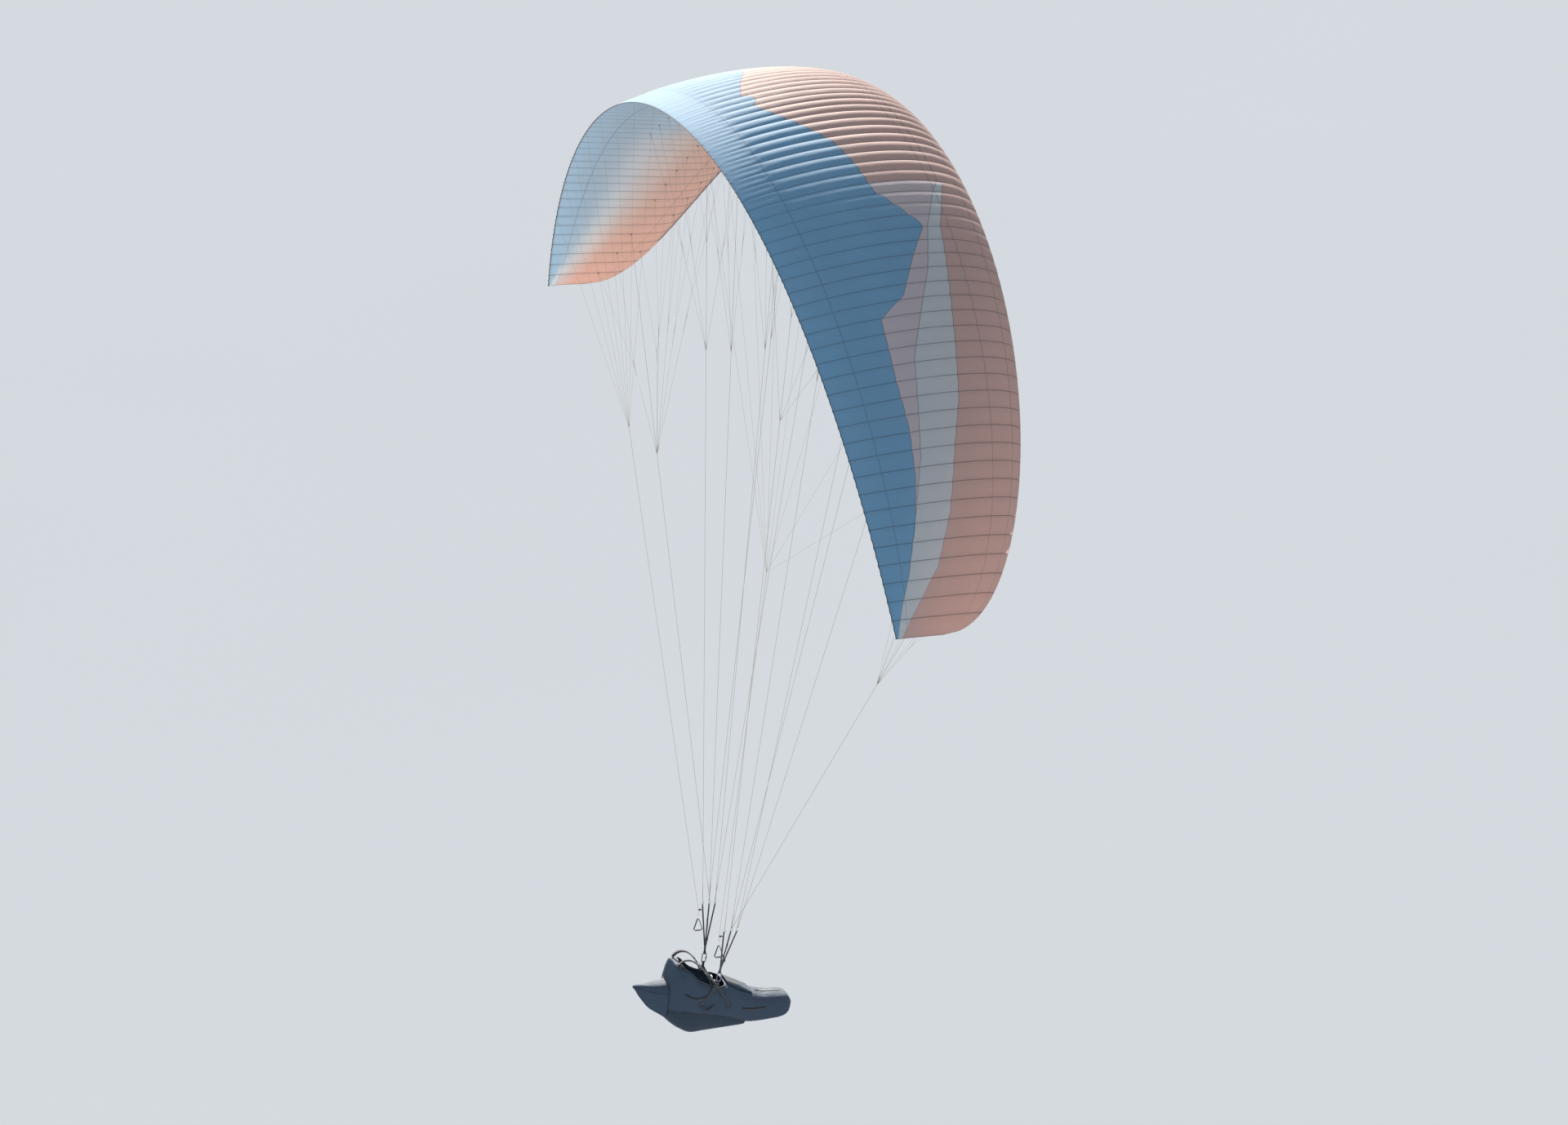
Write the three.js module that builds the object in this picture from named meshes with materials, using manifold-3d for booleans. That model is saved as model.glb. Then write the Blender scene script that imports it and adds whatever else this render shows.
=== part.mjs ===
// Paraglider in level flight: an arched ram-air canopy, its main lines, two risers with brakes,
// and a reclined pod harness that hangs from two karabiners.
// Millimetres. +X is the direction of flight, +Y is left, +Z is up.
// The origin is at mid span on the root chord line, at the centre of lift.

import * as THREE from 'three';
import { mergeVertices } from 'three/addons/utils/BufferGeometryUtils.js';
import Module from 'manifold-3d';

const wasm = await Module();
wasm.setup();

// Canopy
const HALF_FLAT_SPAN = 6300;
const ARC_RADIUS = 5780;
const ROOT_CHORD = 2150;
const LIFT_CENTRE = 0.3; // part of the root chord ahead of the origin
const NOSE_SWEEP = 1400; // how far the leading edge runs back to the tip
const NOSE_POWER = 2.19; // roundness of the leading edge's plan
const TAIL_SWEEP = 330; // how far the trailing edge runs forward to the tip
const THICKNESS = 0.17; // of the chord
const CAMBER = 0.03;
const TRAILING_EDGE = 6;
const CELLS_PER_SIDE = 40;
const CELLS_PER_PANEL = 8;
const UPPER_BULGE = 24; // of the cloth between two ribs
const LOWER_BULGE = 11;
const CHORD_STATIONS = [1, 0.83, 0.66, 0.5, 0.35, 0.22, 0.12, 0.05, 0.015, 0.002];
const SEAM_GAP = 0.3;
// The cells' air intakes, on the lower side of the nose
const OPEN_CELLS = 36; // the outermost cells are closed
const INTAKE = { from: 0.017, to: 0.047, rib: 0.12, depth: 0.028 }; // parts of the chord, and of the cell's width

// Hang point, midway between the karabiners
const HANG_X = -950;
const HANG_Z = -8460;
const KARABINER_Y = 230;

// Lines
const LINE_RADIUS = 1.3;
const LINE_SIDES = 6;
const LINE_SEAT = 0.9; // from a line's end to the cloth
// name, maillon, place on the maillon's bow, rib, part of the chord
const MAIN_LINES = [
  ['a1', 'a', -2.2, 5, 0.12],
  ['a2', 'a', 2.2, 15, 0.12],
  ['b1', 'b', -3.6, 5, 0.35],
  ['b2', 'b', 0, 15, 0.35],
  ['tip', 'b', 3.6, 35, 0.35],
  ['c1', 'c', 0, 9, 0.66],
];
const BRAKE_RIB = 21;

// Risers
const RISER_LEAN = THREE.MathUtils.degToRad(12); // outboard
const RISER_PITCH = THREE.MathUtils.degToRad(6.5); // forward
const WEBBING = 3;
const RISER_WIDTH = 20;
const STRAP_WIDTH = 14;
const LOOP_INNER = 6.6; // the round of a sewn loop
const LOOP_SLOT = 14; // its straight part
const STRAP_ROOT_Z = 70;
// name, foot x, top x, top z
const STRAPS = [
  ['a', 5, 72, 480],
  ['b', 0, 12, 478],
  ['c', -5, -55, 470],
];

// Rings: bow radius, wire radius, distance between the bow centres
const KARABINER = { bow: 20, wire: 5.5, length: 58 };
const MAILLON = { bow: 8, wire: 2.5, length: 20 };

// Brakes
const PULLEY_RADIUS = 11;
const PULLEY_WIDTH = 7;
const PULLEY_TAB = 10;
const PULLEY_Z = 430;
const PULLEY_BACK = 32; // behind the rear strap's middle
const BRAKE_DROP = 95; // from the pulley to the handle
const HANDLE = { top: 9, corner: 12, halfWidth: 30, height: 100, webbing: 4, width: 20 };

// Harness, measured from the hang point before it is pitched nose down
const HARNESS_PITCH = THREE.MathUtils.degToRad(6.5);
const SHELL = 14;
const CLEAR = 0.3;
const RING_POINTS = 20;
const SQUARENESS = 3.6;
// x, top, bottom, half width
const POD = [
  [-450, -170, -450, 150],
  [-400, 40, -475, 190],
  [-300, 35, -490, 218],
  [-150, -70, -500, 228],
  [0, -120, -505, 228],
  [150, -165, -520, 226],
  [300, -226, -548, 208],
  [430, -262, -562, 192],
  [560, -284, -550, 178],
  [700, -280, -532, 162],
  [790, -288, -508, 142],
  [840, -335, -455, 96],
];
const TAIL = [
  [-770, -216, -242, 14],
  [-700, -206, -336, 52],
  [-610, -196, -430, 100],
  [-450.6, -170, -518, 150],
];
const PROTECTOR = [
  [-450.3, -440, -522, 130],
  [-370, -450, -588, 174],
  [-280, -460, -644, 198],
  [-165, -470, -686, 210],
  [-60, -475, -668, 212],
  [90, -480, -640, 206],
  [240, -490, -612, 190],
  [380, -520, -584, 160],
];
const FAIRING_SKIN = 16;
// The pod's mouth, from above: x from, x to, half width, bottom, top
const MOUTH = [-345, 128, 186, -330, 200];
const NOSE_SEAM = 440;
const FAR = 2000; // beyond the harness on every side
const SEAT_BOARD = [-190, 190, 300, -474, -458];
const FOOT_PLATE = [762, 777, 300, -600, -100];
const CHEST_STRAP = [6, 9, 228, -150, -125];
const CHEST_BUCKLE = [9.3, 19, 22, -156, -119];
// Outlines of plates: x, z
const BACK_REST = [[-205, -455], [-225, -455], [-372, 5], [-352, 5]];
const DECK = [[140, -290], [430, -330], [436, -252], [300, -184], [146, -128]];
const DECK_HALF_WIDTH = 112;
const STRAP_Y = 228.3; // the hang straps' inner face
const HANG_STRAP = { trunk: 45, fork: 26, half: 14, width: 25, front: [150, -330], rear: [-140, -330] };
const SHOULDER_STRAP = { thickness: 6, width: 38, steps: 16 };
const SHOULDER_ROUTE = [
  [-372, 105, -30],
  [-372, 105, 44],
  [-322, 108, 92],
  [-240, 120, 86],
  [-155, 146, 22],
  [-92, 172, -54],
  [-54, 192, -124],
  [-38, 204, -200],
];

const X_AXIS = new THREE.Vector3(1, 0, 0);
const Y_AXIS = new THREE.Vector3(0, 1, 0);

// Shapes

function toSolid(geometry) {
  const bare = geometry.clone();
  bare.deleteAttribute('normal');
  bare.deleteAttribute('uv');
  const merged = mergeVertices(bare, 1e-4);
  const vertProperties = new Float32Array(merged.attributes.position.array);
  const triVerts = new Uint32Array(merged.index.array);
  return new wasm.Manifold(new wasm.Mesh({ numProp: 3, vertProperties, triVerts }));
}

function toGeometry(solid) {
  const { vertProperties, triVerts } = solid.getMesh();
  const geometry = new THREE.BufferGeometry();
  geometry.setAttribute('position', new THREE.BufferAttribute(vertProperties, 3));
  geometry.setIndex(new THREE.BufferAttribute(triVerts, 1));
  geometry.computeVertexNormals();
  return geometry;
}

function join(...geometries) {
  return toGeometry(geometries.map(toSolid).reduce((whole, piece) => whole.add(piece)));
}

function cut(geometry, ...tools) {
  return toGeometry(tools.map(toSolid).reduce((whole, tool) => whole.subtract(tool), toSolid(geometry)));
}

function overlap(a, b) {
  return toGeometry(toSolid(a).intersect(toSolid(b)));
}

function signedVolume(vertices, faces) {
  return faces.reduce((sum, [a, b, c]) => {
    const cross = new THREE.Vector3().crossVectors(vertices[b], vertices[c]);
    return sum + vertices[a].dot(cross) / 6;
  }, 0);
}

function facesToGeometry(vertices, faces) {
  const outward = signedVolume(vertices, faces) > 0;
  const geometry = new THREE.BufferGeometry().setFromPoints(vertices);
  geometry.setIndex(faces.flatMap(([a, b, c]) => (outward ? [a, b, c] : [a, c, b])));
  geometry.computeVertexNormals();
  return geometry;
}

// A skin through rings of equal length. Open lofts get an end cap whose strips join point i to point n-1-i.
function loft(rings, closed = false) {
  const n = rings[0].length;
  const vertices = rings.flat();
  const faces = [];
  const spans = closed ? rings.length : rings.length - 1;
  for (let r = 0; r < spans; r++) {
    const next = (r + 1) % rings.length;
    for (let i = 0; i < n; i++) {
      const j = (i + 1) % n;
      faces.push([r * n + i, r * n + j, next * n + j], [r * n + i, next * n + j, next * n + i]);
    }
  }
  if (!closed) {
    const last = (rings.length - 1) * n;
    for (let i = 0; i < n / 2 - 1; i++) {
      const [a, b, c, d] = [i, i + 1, n - 2 - i, n - 1 - i];
      faces.push([a, c, b], [a, d, c], [last + a, last + b, last + c], [last + a, last + c, last + d]);
    }
  }
  return facesToGeometry(vertices, faces);
}

function roundedRing(x, top, bottom, halfWidth, inset = 0) {
  const middle = (top + bottom) / 2;
  const halfHeight = (top - bottom) / 2 - inset;
  const points = [];
  for (let i = 0; i < RING_POINTS; i++) {
    const angle = ((i + 0.5) / RING_POINTS) * 2 * Math.PI + Math.PI / 2;
    const [c, s] = [Math.cos(angle), Math.sin(angle)];
    const reach = (Math.abs(c) ** SQUARENESS + Math.abs(s) ** SQUARENESS) ** (-1 / SQUARENESS);
    points.push(new THREE.Vector3(x, (halfWidth - inset) * reach * c, middle + halfHeight * reach * s));
  }
  return points;
}

// A lofted shell's table, drawn in by inset on every side
function podLoft(table, inset = 0) {
  const last = table.length - 1;
  return loft(table.map(([x, top, bottom, halfWidth], i) => {
    const shift = i === 0 ? inset : i === last ? -inset : 0;
    return roundedRing(x + shift, top, bottom, halfWidth, inset);
  }));
}

// A closed band round circles given counter-clockwise in the XZ plane: x, z, radius, steps of the arc
function beltPath(circles) {
  const path = [];
  const tangent = (from, to) => {
    const [dx, dz] = [to[0] - from[0], to[1] - from[1]];
    return Math.atan2(dz, dx) - Math.acos((from[2] - to[2]) / Math.hypot(dx, dz));
  };
  circles.forEach((circle, i) => {
    const before = circles[(i + circles.length - 1) % circles.length];
    const after = circles[(i + 1) % circles.length];
    const start = tangent(before, circle);
    let end = tangent(circle, after);
    while (end < start) end += 2 * Math.PI;
    const [x, z, radius, steps] = circle;
    for (let k = 0; k <= steps; k++) {
      const angle = start + ((end - start) * k) / steps;
      const out = new THREE.Vector3(Math.cos(angle), 0, Math.sin(angle));
      path.push({ out, at: out.clone().multiplyScalar(radius).add(new THREE.Vector3(x, 0, z)) });
    }
  });
  return path;
}

function belt(circles, section) {
  const rings = beltPath(circles).map(({ out, at }) => section.map(([along, across]) =>
    at.clone().addScaledVector(out, along).addScaledVector(Y_AXIS, across)));
  return loft(rings, true);
}

function roundSection(radius, sides) {
  return Array.from({ length: sides }, (_, i) => {
    const angle = (i / sides) * 2 * Math.PI;
    return [radius * Math.cos(angle), radius * Math.sin(angle)];
  });
}

function flatSection(thickness, width) {
  const [t, w] = [thickness / 2, width / 2];
  return [[t, -w], [t, w], [-t, w], [-t, -w]];
}

function ring({ bow, wire, length }, arcSteps, sides) {
  const circles = [[0, 0, bow, arcSteps], [0, -length, bow, arcSteps]];
  return belt(circles, roundSection(wire, sides));
}

// A flat plate in the XZ plane, of the outline [x, z], between two values of y
function plate(outline, y0, y1) {
  const shape = new THREE.Shape(outline.map(([x, z]) => new THREE.Vector2(x, z)));
  const geometry = new THREE.ExtrudeGeometry(shape, { depth: y1 - y0, bevelEnabled: false });
  return geometry.rotateX(Math.PI / 2).translate(0, y1, 0);
}

// A straight strip of webbing in the XZ plane
function strip([x0, z0], [x1, z1], width, y0, y1) {
  const along = new THREE.Vector2(x1 - x0, z1 - z0).normalize().multiplyScalar(width / 2);
  const [sx, sz] = [-along.y, along.x];
  return plate([[x0 - sx, z0 - sz], [x0 + sx, z0 + sz], [x1 + sx, z1 + sz], [x1 - sx, z1 - sz]], y0, y1);
}

// A webbing loop round a bow: a slot with round ends in the YZ plane, open along X.
// low and high are the slot's round centres.
function webbingLoop(low, high, inner, width, wall = WEBBING) {
  const slot = (radius, bottom, top) => {
    const shape = new THREE.Path();
    shape.absarc(0, bottom, radius, Math.PI, 2 * Math.PI, false);
    shape.absarc(0, top, radius, 0, Math.PI, false);
    return shape.getPoints(5);
  };
  const shape = new THREE.Shape(slot(inner + wall, low, high));
  shape.holes.push(new THREE.Path(slot(inner, low, high).reverse()));
  const geometry = new THREE.ExtrudeGeometry(shape, { depth: width, bevelEnabled: false });
  return geometry.rotateX(Math.PI / 2).rotateZ(Math.PI / 2).translate(-width / 2, 0, 0);
}

function tubeBetween(from, to, radius) {
  const run = new THREE.Vector3().subVectors(to, from);
  const mesh = new THREE.Mesh(new THREE.CylinderGeometry(radius, radius, run.length(), LINE_SIDES, 1));
  mesh.position.copy(from).addScaledVector(run, 0.5);
  mesh.quaternion.setFromUnitVectors(Y_AXIS, run.normalize());
  return mesh;
}

// Materials

function material(color, roughness, metalness = 0) {
  return new THREE.MeshStandardMaterial({ color, roughness, metalness });
}
const blueCloth = () => material(0x2f7fc4, 0.6);
const salmonCloth = () => material(0xd98a6a, 0.6);
const lineSheath = () => material(0xd8c9a0, 0.7);
const blackWebbing = () => material(0x1d2024, 0.85);
const steel = () => material(0xb9bcc0, 0.3, 1);
const podCloth = () => material(0x27303c, 0.8);

const root = new THREE.Group();

function add(parent, name, geometry, look) {
  const mesh = new THREE.Mesh(geometry, look);
  mesh.name = name;
  parent.add(mesh);
  return mesh;
}

// Canopy: u runs along the arched span from -1 at the right tip to 1 at the left tip

function noseX(u) {
  const a = Math.min(1, Math.abs(u));
  return ROOT_CHORD * LIFT_CENTRE - NOSE_SWEEP * (1 - (1 - a ** NOSE_POWER) ** (1 / NOSE_POWER));
}

function tailX(u) {
  return ROOT_CHORD * (LIFT_CENTRE - 1) + TAIL_SWEEP * u * u;
}

function arcAngle(u) {
  return (u * HALF_FLAT_SPAN) / ARC_RADIUS;
}

function upAt(u) {
  return new THREE.Vector3(0, Math.sin(arcAngle(u)), Math.cos(arcAngle(u)));
}

// side is 1 on the upper skin and -1 on the lower; bulge is 1 midway between two ribs
function skinPoint(u, s, side, bulge = 0) {
  const chord = noseX(u) - tailX(u);
  const thickness = THICKNESS * (1 - 0.75 * Math.abs(u) ** 10);
  const half = 5 * thickness
    * (0.2969 * Math.sqrt(s) - 0.126 * s - 0.3516 * s ** 2 + 0.2843 * s ** 3 - 0.1036 * s ** 4);
  const swell = Math.sqrt(Math.min(1, s / 0.12)) * (1 - s) ** 0.4;
  const puff = bulge * swell * (side > 0 ? UPPER_BULGE : LOWER_BULGE);
  const height = chord * 4 * CAMBER * s * (1 - s) + side * (chord * half + TRAILING_EDGE / 2 + puff);
  const angle = arcAngle(u);
  const centre = new THREE.Vector3(0, Math.sin(angle), Math.cos(angle) - 1).multiplyScalar(ARC_RADIUS);
  return centre.setX(noseX(u) - s * chord).addScaledVector(upAt(u), height);
}

function ribRing(u, bulge) {
  const upper = CHORD_STATIONS.map((s) => skinPoint(u, s, 1, bulge));
  const lower = CHORD_STATIONS.map((s) => skinPoint(u, s, -1, bulge));
  return [...upper, ...lower.reverse()];
}

// A wedge that opens one cell's intake
function intake(side, cell) {
  const us = [cell + INTAKE.rib, cell + 1 - INTAKE.rib].map((k) => (side * k) / CELLS_PER_SIDE);
  const corners = [[0, INTAKE.from], [1, INTAKE.from], [1, INTAKE.to], [0, INTAKE.to]]
    .map(([end, s]) => skinPoint(us[end], s, -1, 0.4));
  const [across, back] = [1, 3].map((i) => corners[i].clone().sub(corners[0]));
  const out = new THREE.Vector3().crossVectors(across, back).normalize();
  const middle = corners.reduce((sum, c) => sum.add(c), new THREE.Vector3()).divideScalar(4);
  const inside = skinPoint(us[0], 0.12, 1).lerp(skinPoint(us[1], 0.12, -1), 0.5);
  if (out.dot(middle.clone().sub(inside)) < 0) out.negate();
  const depth = INTAKE.depth * (noseX(us[0]) - tailX(us[0]));
  const mouth = corners.map((c) => c.clone().addScaledVector(out, depth / 3));
  const floor = corners.map((c) => c.clone().lerp(middle, 0.12).addScaledVector(out, -depth));
  return loft([mouth, floor]);
}

function canopyPanel(side, firstCell) {
  const rings = [];
  const steps = CELLS_PER_PANEL * 2;
  const halfGap = SEAM_GAP / 2 / HALF_FLAT_SPAN;
  for (let k = 0; k <= steps; k++) {
    const inset = k === 0 ? halfGap : k === steps ? -halfGap : 0;
    rings.push(ribRing(side * ((firstCell + k / 2) / CELLS_PER_SIDE + inset), k % 2));
  }
  const openCells = Math.min(CELLS_PER_PANEL, OPEN_CELLS - firstCell);
  const intakes = Array.from({ length: openCells }, (_, k) => intake(side, firstCell + k));
  return cut(loft(rings), ...intakes);
}

const SIDES = [['left', 1], ['right', -1]];
const canopy = new THREE.Group();
root.add(canopy);
for (const [name, side] of SIDES) {
  for (let p = 0; p < CELLS_PER_SIDE / CELLS_PER_PANEL; p++) {
    const look = p < 3 ? blueCloth() : salmonCloth();
    add(canopy, `canopy_${name}_${p + 1}`, canopyPanel(side, p * CELLS_PER_PANEL), look);
  }
}

// Risers: each group's origin is on the middle of its karabiner's upper bow. It leans forward about the bow's
// centre, and then outboard.

function riser() {
  const half = RISER_WIDTH / 2;
  const loopBottom = LOOP_INNER - Math.sqrt((KARABINER.bow - KARABINER.wire) ** 2 - half ** 2);
  const low = -(KARABINER.bow + loopBottom) + 2 * LOOP_INNER - CLEAR;
  const loop = webbingLoop(low, low + LOOP_SLOT, LOOP_INNER, RISER_WIDTH);
  const [foot, fork] = [low + LOOP_SLOT + LOOP_INNER, STRAP_ROOT_Z + 12];
  const trunk = plate([[-half, foot], [half, foot], [half, fork], [-half, fork]], -WEBBING, WEBBING);
  const straps = STRAPS.map(([, bottom, top, height]) =>
    strip([bottom, STRAP_ROOT_Z], [top, height], STRAP_WIDTH, -WEBBING / 2, WEBBING / 2));
  const ends = STRAPS.map(([, , top, height]) => maillonLoop().translate(top, 0, height));
  return join(loop, trunk, ...straps, ...ends);
}

// The strap's top end, folded over the maillon's lower bow; its origin is on the strap's end
const MAILLON_LOOP = { inner: 3, width: 9, wall: 2, slot: 5 };
function maillonLoop() {
  const { inner, width, wall, slot } = MAILLON_LOOP;
  return webbingLoop(inner, inner + slot, inner, width, wall);
}

// From the strap's end to the middle of the maillon's lower bow
function maillonHeight() {
  const { inner, width, slot } = MAILLON_LOOP;
  const inside = Math.sqrt((MAILLON.bow - MAILLON.wire) ** 2 - (width / 2) ** 2);
  return slot + 2 * inner + inside - CLEAR;
}

function pulley([, , strapTop, strapHeight]) {
  const x = (strapTop * (PULLEY_Z - STRAP_ROOT_Z)) / (strapHeight - STRAP_ROOT_Z) - PULLEY_BACK;
  const wheel = new THREE.CylinderGeometry(PULLEY_RADIUS, PULLEY_RADIUS, PULLEY_WIDTH, 16);
  const strapEdge = x + PULLEY_BACK - STRAP_WIDTH / 2 - 1.3;
  const tab = strip([x, PULLEY_Z], [strapEdge, PULLEY_Z], PULLEY_TAB, -2, 2);
  return { geometry: join(wheel.translate(x, 0, PULLEY_Z), tab), x };
}

function brakeHandle() {
  const { top, corner, halfWidth, height, webbing, width } = HANDLE;
  const circles = [[0, 0, top, 4], [-halfWidth, -height, corner, 3], [halfWidth, -height, corner, 3]];
  return belt(circles, flatSection(webbing, width));
}

for (const [name, side] of SIDES) {
  const bow = new THREE.Group();
  bow.position.set(HANG_X, side * KARABINER_Y, HANG_Z);
  bow.rotation.y = RISER_PITCH;
  root.add(bow);
  const group = new THREE.Group();
  group.position.z = KARABINER.bow;
  group.rotation.x = -side * RISER_LEAN;
  bow.add(group);
  bow.updateMatrixWorld(true);
  const worldOf = (x, y, z) => group.localToWorld(new THREE.Vector3(x, y, z));

  add(group, `riser_${name}`, riser(), blackWebbing());
  const bowTop = {};
  for (const [strap, , top, height] of STRAPS) {
    const bowCentre = height + maillonHeight() + MAILLON.length;
    add(group, `maillon_${name}_${strap}`, ring(MAILLON, 6, 6).translate(top, 0, bowCentre), steel());
    bowTop[strap] = [top, bowCentre];
  }

  for (const [line, strap, along, rib, s] of MAIN_LINES) {
    const [x, z] = bowTop[strap];
    const reach = Math.sqrt((MAILLON.bow + MAILLON.wire) ** 2 - along ** 2);
    const from = worldOf(x + along, 0, z + reach + CLEAR + LINE_RADIUS * 0.5);
    const u = (side * rib) / CELLS_PER_SIDE;
    const to = skinPoint(u, s, -1).addScaledVector(upAt(u), -LINE_SEAT);
    const mesh = tubeBetween(from, to, LINE_RADIUS);
    mesh.name = `line_${name}_${line}`;
    mesh.material = lineSheath();
    root.add(mesh);
  }

  const { geometry, x } = pulley(STRAPS[2]);
  add(group, `pulley_${name}`, geometry, material(0x2a2c30, 0.5));
  const lead = worldOf(x - PULLEY_RADIUS - LINE_RADIUS - CLEAR, 0, PULLEY_Z);
  const u = (side * BRAKE_RIB) / CELLS_PER_SIDE;
  const seat = skinPoint(u, 1, -1).addScaledVector(upAt(u), -LINE_SEAT).addScaledVector(X_AXIS, 4);
  const upper = tubeBetween(lead.clone().setZ(lead.z + 1), seat, LINE_RADIUS);
  upper.name = `brake_line_${name}`;
  upper.material = lineSheath();
  root.add(upper);

  const foot = lead.clone().setZ(lead.z - BRAKE_DROP);
  const lower = tubeBetween(foot, lead.clone().setZ(lead.z - 1), LINE_RADIUS);
  lower.name = `brake_lead_${name}`;
  lower.material = lineSheath();
  root.add(lower);
  const handle = add(root, `brake_handle_${name}`, brakeHandle(), blackWebbing());
  handle.position.copy(foot).setZ(foot.z - HANDLE.top - HANDLE.webbing / 2 - CLEAR);
}

// Harness

const harness = new THREE.Group();
harness.position.set(HANG_X, 0, HANG_Z);
harness.rotation.y = HARNESS_PITCH;
root.add(harness);

function box([x0, x1, halfWidth, z0, z1]) {
  return new THREE.BoxGeometry(x1 - x0, 2 * halfWidth, z1 - z0)
    .translate((x0 + x1) / 2, 0, (z0 + z1) / 2);
}

const podAround = () => podLoft(POD, -CLEAR);
const podInside = () => podLoft(POD, SHELL + CLEAR);
// The shell is sewn from two parts, one round the seat and one round the feet
const shell = cut(podLoft(POD), podLoft(POD, SHELL), box(MOUTH));
add(harness, 'pod_shell', overlap(shell, box([-FAR, NOSE_SEAM, FAR, -FAR, FAR])), podCloth());
add(harness, 'pod_nose', overlap(shell, box([NOSE_SEAM + CLEAR, FAR, FAR, -FAR, FAR])), podCloth());
// The fairing's hollow is open at its front, where it meets the pod
const fairingInside = () => loft(TAIL.slice(1).map(([x, top, bottom, halfWidth], i, rows) =>
  roundedRing(i === rows.length - 1 ? x + 1 : x, top, bottom, halfWidth, FAIRING_SKIN)));
add(harness, 'rear_fairing', cut(podLoft(TAIL), fairingInside()), podCloth());
add(harness, 'seat_protector', cut(podLoft(PROTECTOR), podLoft(PROTECTOR, SHELL), podAround()), podCloth());
add(harness, 'seat_board', overlap(box(SEAT_BOARD), podInside()), material(0x1b1c1e, 0.4));
add(harness, 'back_rest', overlap(plate(BACK_REST, -300, 300), podInside()), blackWebbing());
add(harness, 'foot_plate', overlap(box(FOOT_PLATE), podInside()), material(0x1b1c1e, 0.4));
add(harness, 'cockpit_deck', cut(plate(DECK, -DECK_HALF_WIDTH, DECK_HALF_WIDTH), podAround()), podCloth());

// The hang strap runs from the karabiner's lower bow to two points on the shell's side
function hangStrap(y0, y1) {
  const { trunk, fork, half, width, front, rear } = HANG_STRAP;
  const inside = Math.sqrt((KARABINER.bow - KARABINER.wire) ** 2 - (RISER_WIDTH / 2) ** 2);
  const high = -KARABINER.length - inside + CLEAR - LOOP_INNER;
  const loop = webbingLoop(high - LOOP_SLOT, high, LOOP_INNER, RISER_WIDTH).translate(0, (y0 + y1) / 2, 0);
  const apex = high - LOOP_SLOT - LOOP_INNER;
  const stem = plate([[-half, apex], [-half, apex - trunk], [half, apex - trunk], [half, apex]], y0, y1);
  const legs = [front, rear].map((end) => strip([0, apex - fork], end, width, y0, y1));
  return join(loop, stem, ...legs);
}

function shoulderStrap(side) {
  const { thickness, width, steps } = SHOULDER_STRAP;
  const path = new THREE.CatmullRomCurve3(SHOULDER_ROUTE.map(([x, y, z]) => new THREE.Vector3(x, side * y, z)));
  const outline = new THREE.Shape(flatSection(thickness, width).map(([a, b]) => new THREE.Vector2(a, b)));
  const geometry = new THREE.ExtrudeGeometry(outline, { steps, bevelEnabled: false, extrudePath: path });
  return cut(geometry, podAround());
}

for (const [name, side] of SIDES) {
  const karabiner = add(harness, `karabiner_${name}`, ring(KARABINER, 10, 8), material(0x8d949c, 0.3, 1));
  karabiner.position.y = side * KARABINER_Y;
  const [y0, y1] = [STRAP_Y, STRAP_Y + WEBBING].map((y) => side * y).sort((a, b) => a - b);
  add(harness, `hang_strap_${name}`, hangStrap(y0, y1), blackWebbing());
  add(harness, `shoulder_strap_${name}`, shoulderStrap(side), blackWebbing());
}
add(harness, 'chest_strap', box(CHEST_STRAP), blackWebbing());
add(harness, 'chest_buckle', box(CHEST_BUCKLE), steel());

export default root;
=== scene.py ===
"""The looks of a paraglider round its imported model: canopy cloth, lines, risers, pod harness and studio.

Metres, in the model's own frame: +X is the direction of flight, +Y is left and +Z is up.
"""

import math

import bmesh
import bpy
import numpy as np
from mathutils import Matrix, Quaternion, Vector
from mathutils.bvhtree import BVHTree


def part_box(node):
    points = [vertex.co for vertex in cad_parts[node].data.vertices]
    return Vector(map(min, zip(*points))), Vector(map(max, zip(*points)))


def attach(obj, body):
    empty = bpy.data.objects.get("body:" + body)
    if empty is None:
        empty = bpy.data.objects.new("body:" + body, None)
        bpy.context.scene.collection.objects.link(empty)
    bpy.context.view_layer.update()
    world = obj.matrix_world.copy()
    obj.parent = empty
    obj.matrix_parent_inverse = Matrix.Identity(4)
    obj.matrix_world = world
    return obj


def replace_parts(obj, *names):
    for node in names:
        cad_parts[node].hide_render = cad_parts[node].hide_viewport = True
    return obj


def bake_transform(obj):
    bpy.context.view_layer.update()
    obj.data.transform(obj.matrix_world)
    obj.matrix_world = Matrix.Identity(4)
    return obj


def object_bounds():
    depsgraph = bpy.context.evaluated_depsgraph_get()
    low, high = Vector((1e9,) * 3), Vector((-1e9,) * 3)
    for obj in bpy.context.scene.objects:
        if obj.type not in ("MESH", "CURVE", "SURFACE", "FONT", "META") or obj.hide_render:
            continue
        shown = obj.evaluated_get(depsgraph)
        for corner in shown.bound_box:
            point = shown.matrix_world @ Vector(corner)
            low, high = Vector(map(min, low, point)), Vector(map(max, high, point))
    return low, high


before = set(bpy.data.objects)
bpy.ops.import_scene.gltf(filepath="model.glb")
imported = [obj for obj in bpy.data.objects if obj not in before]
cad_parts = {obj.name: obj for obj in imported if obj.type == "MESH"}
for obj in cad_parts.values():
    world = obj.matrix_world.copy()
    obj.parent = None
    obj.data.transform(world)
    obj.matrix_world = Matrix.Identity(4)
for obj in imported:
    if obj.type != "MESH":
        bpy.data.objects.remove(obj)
cad_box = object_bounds()
SIDES = (("left", 1), ("right", -1))
UP = np.array([0.0, 0, 1])

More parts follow.
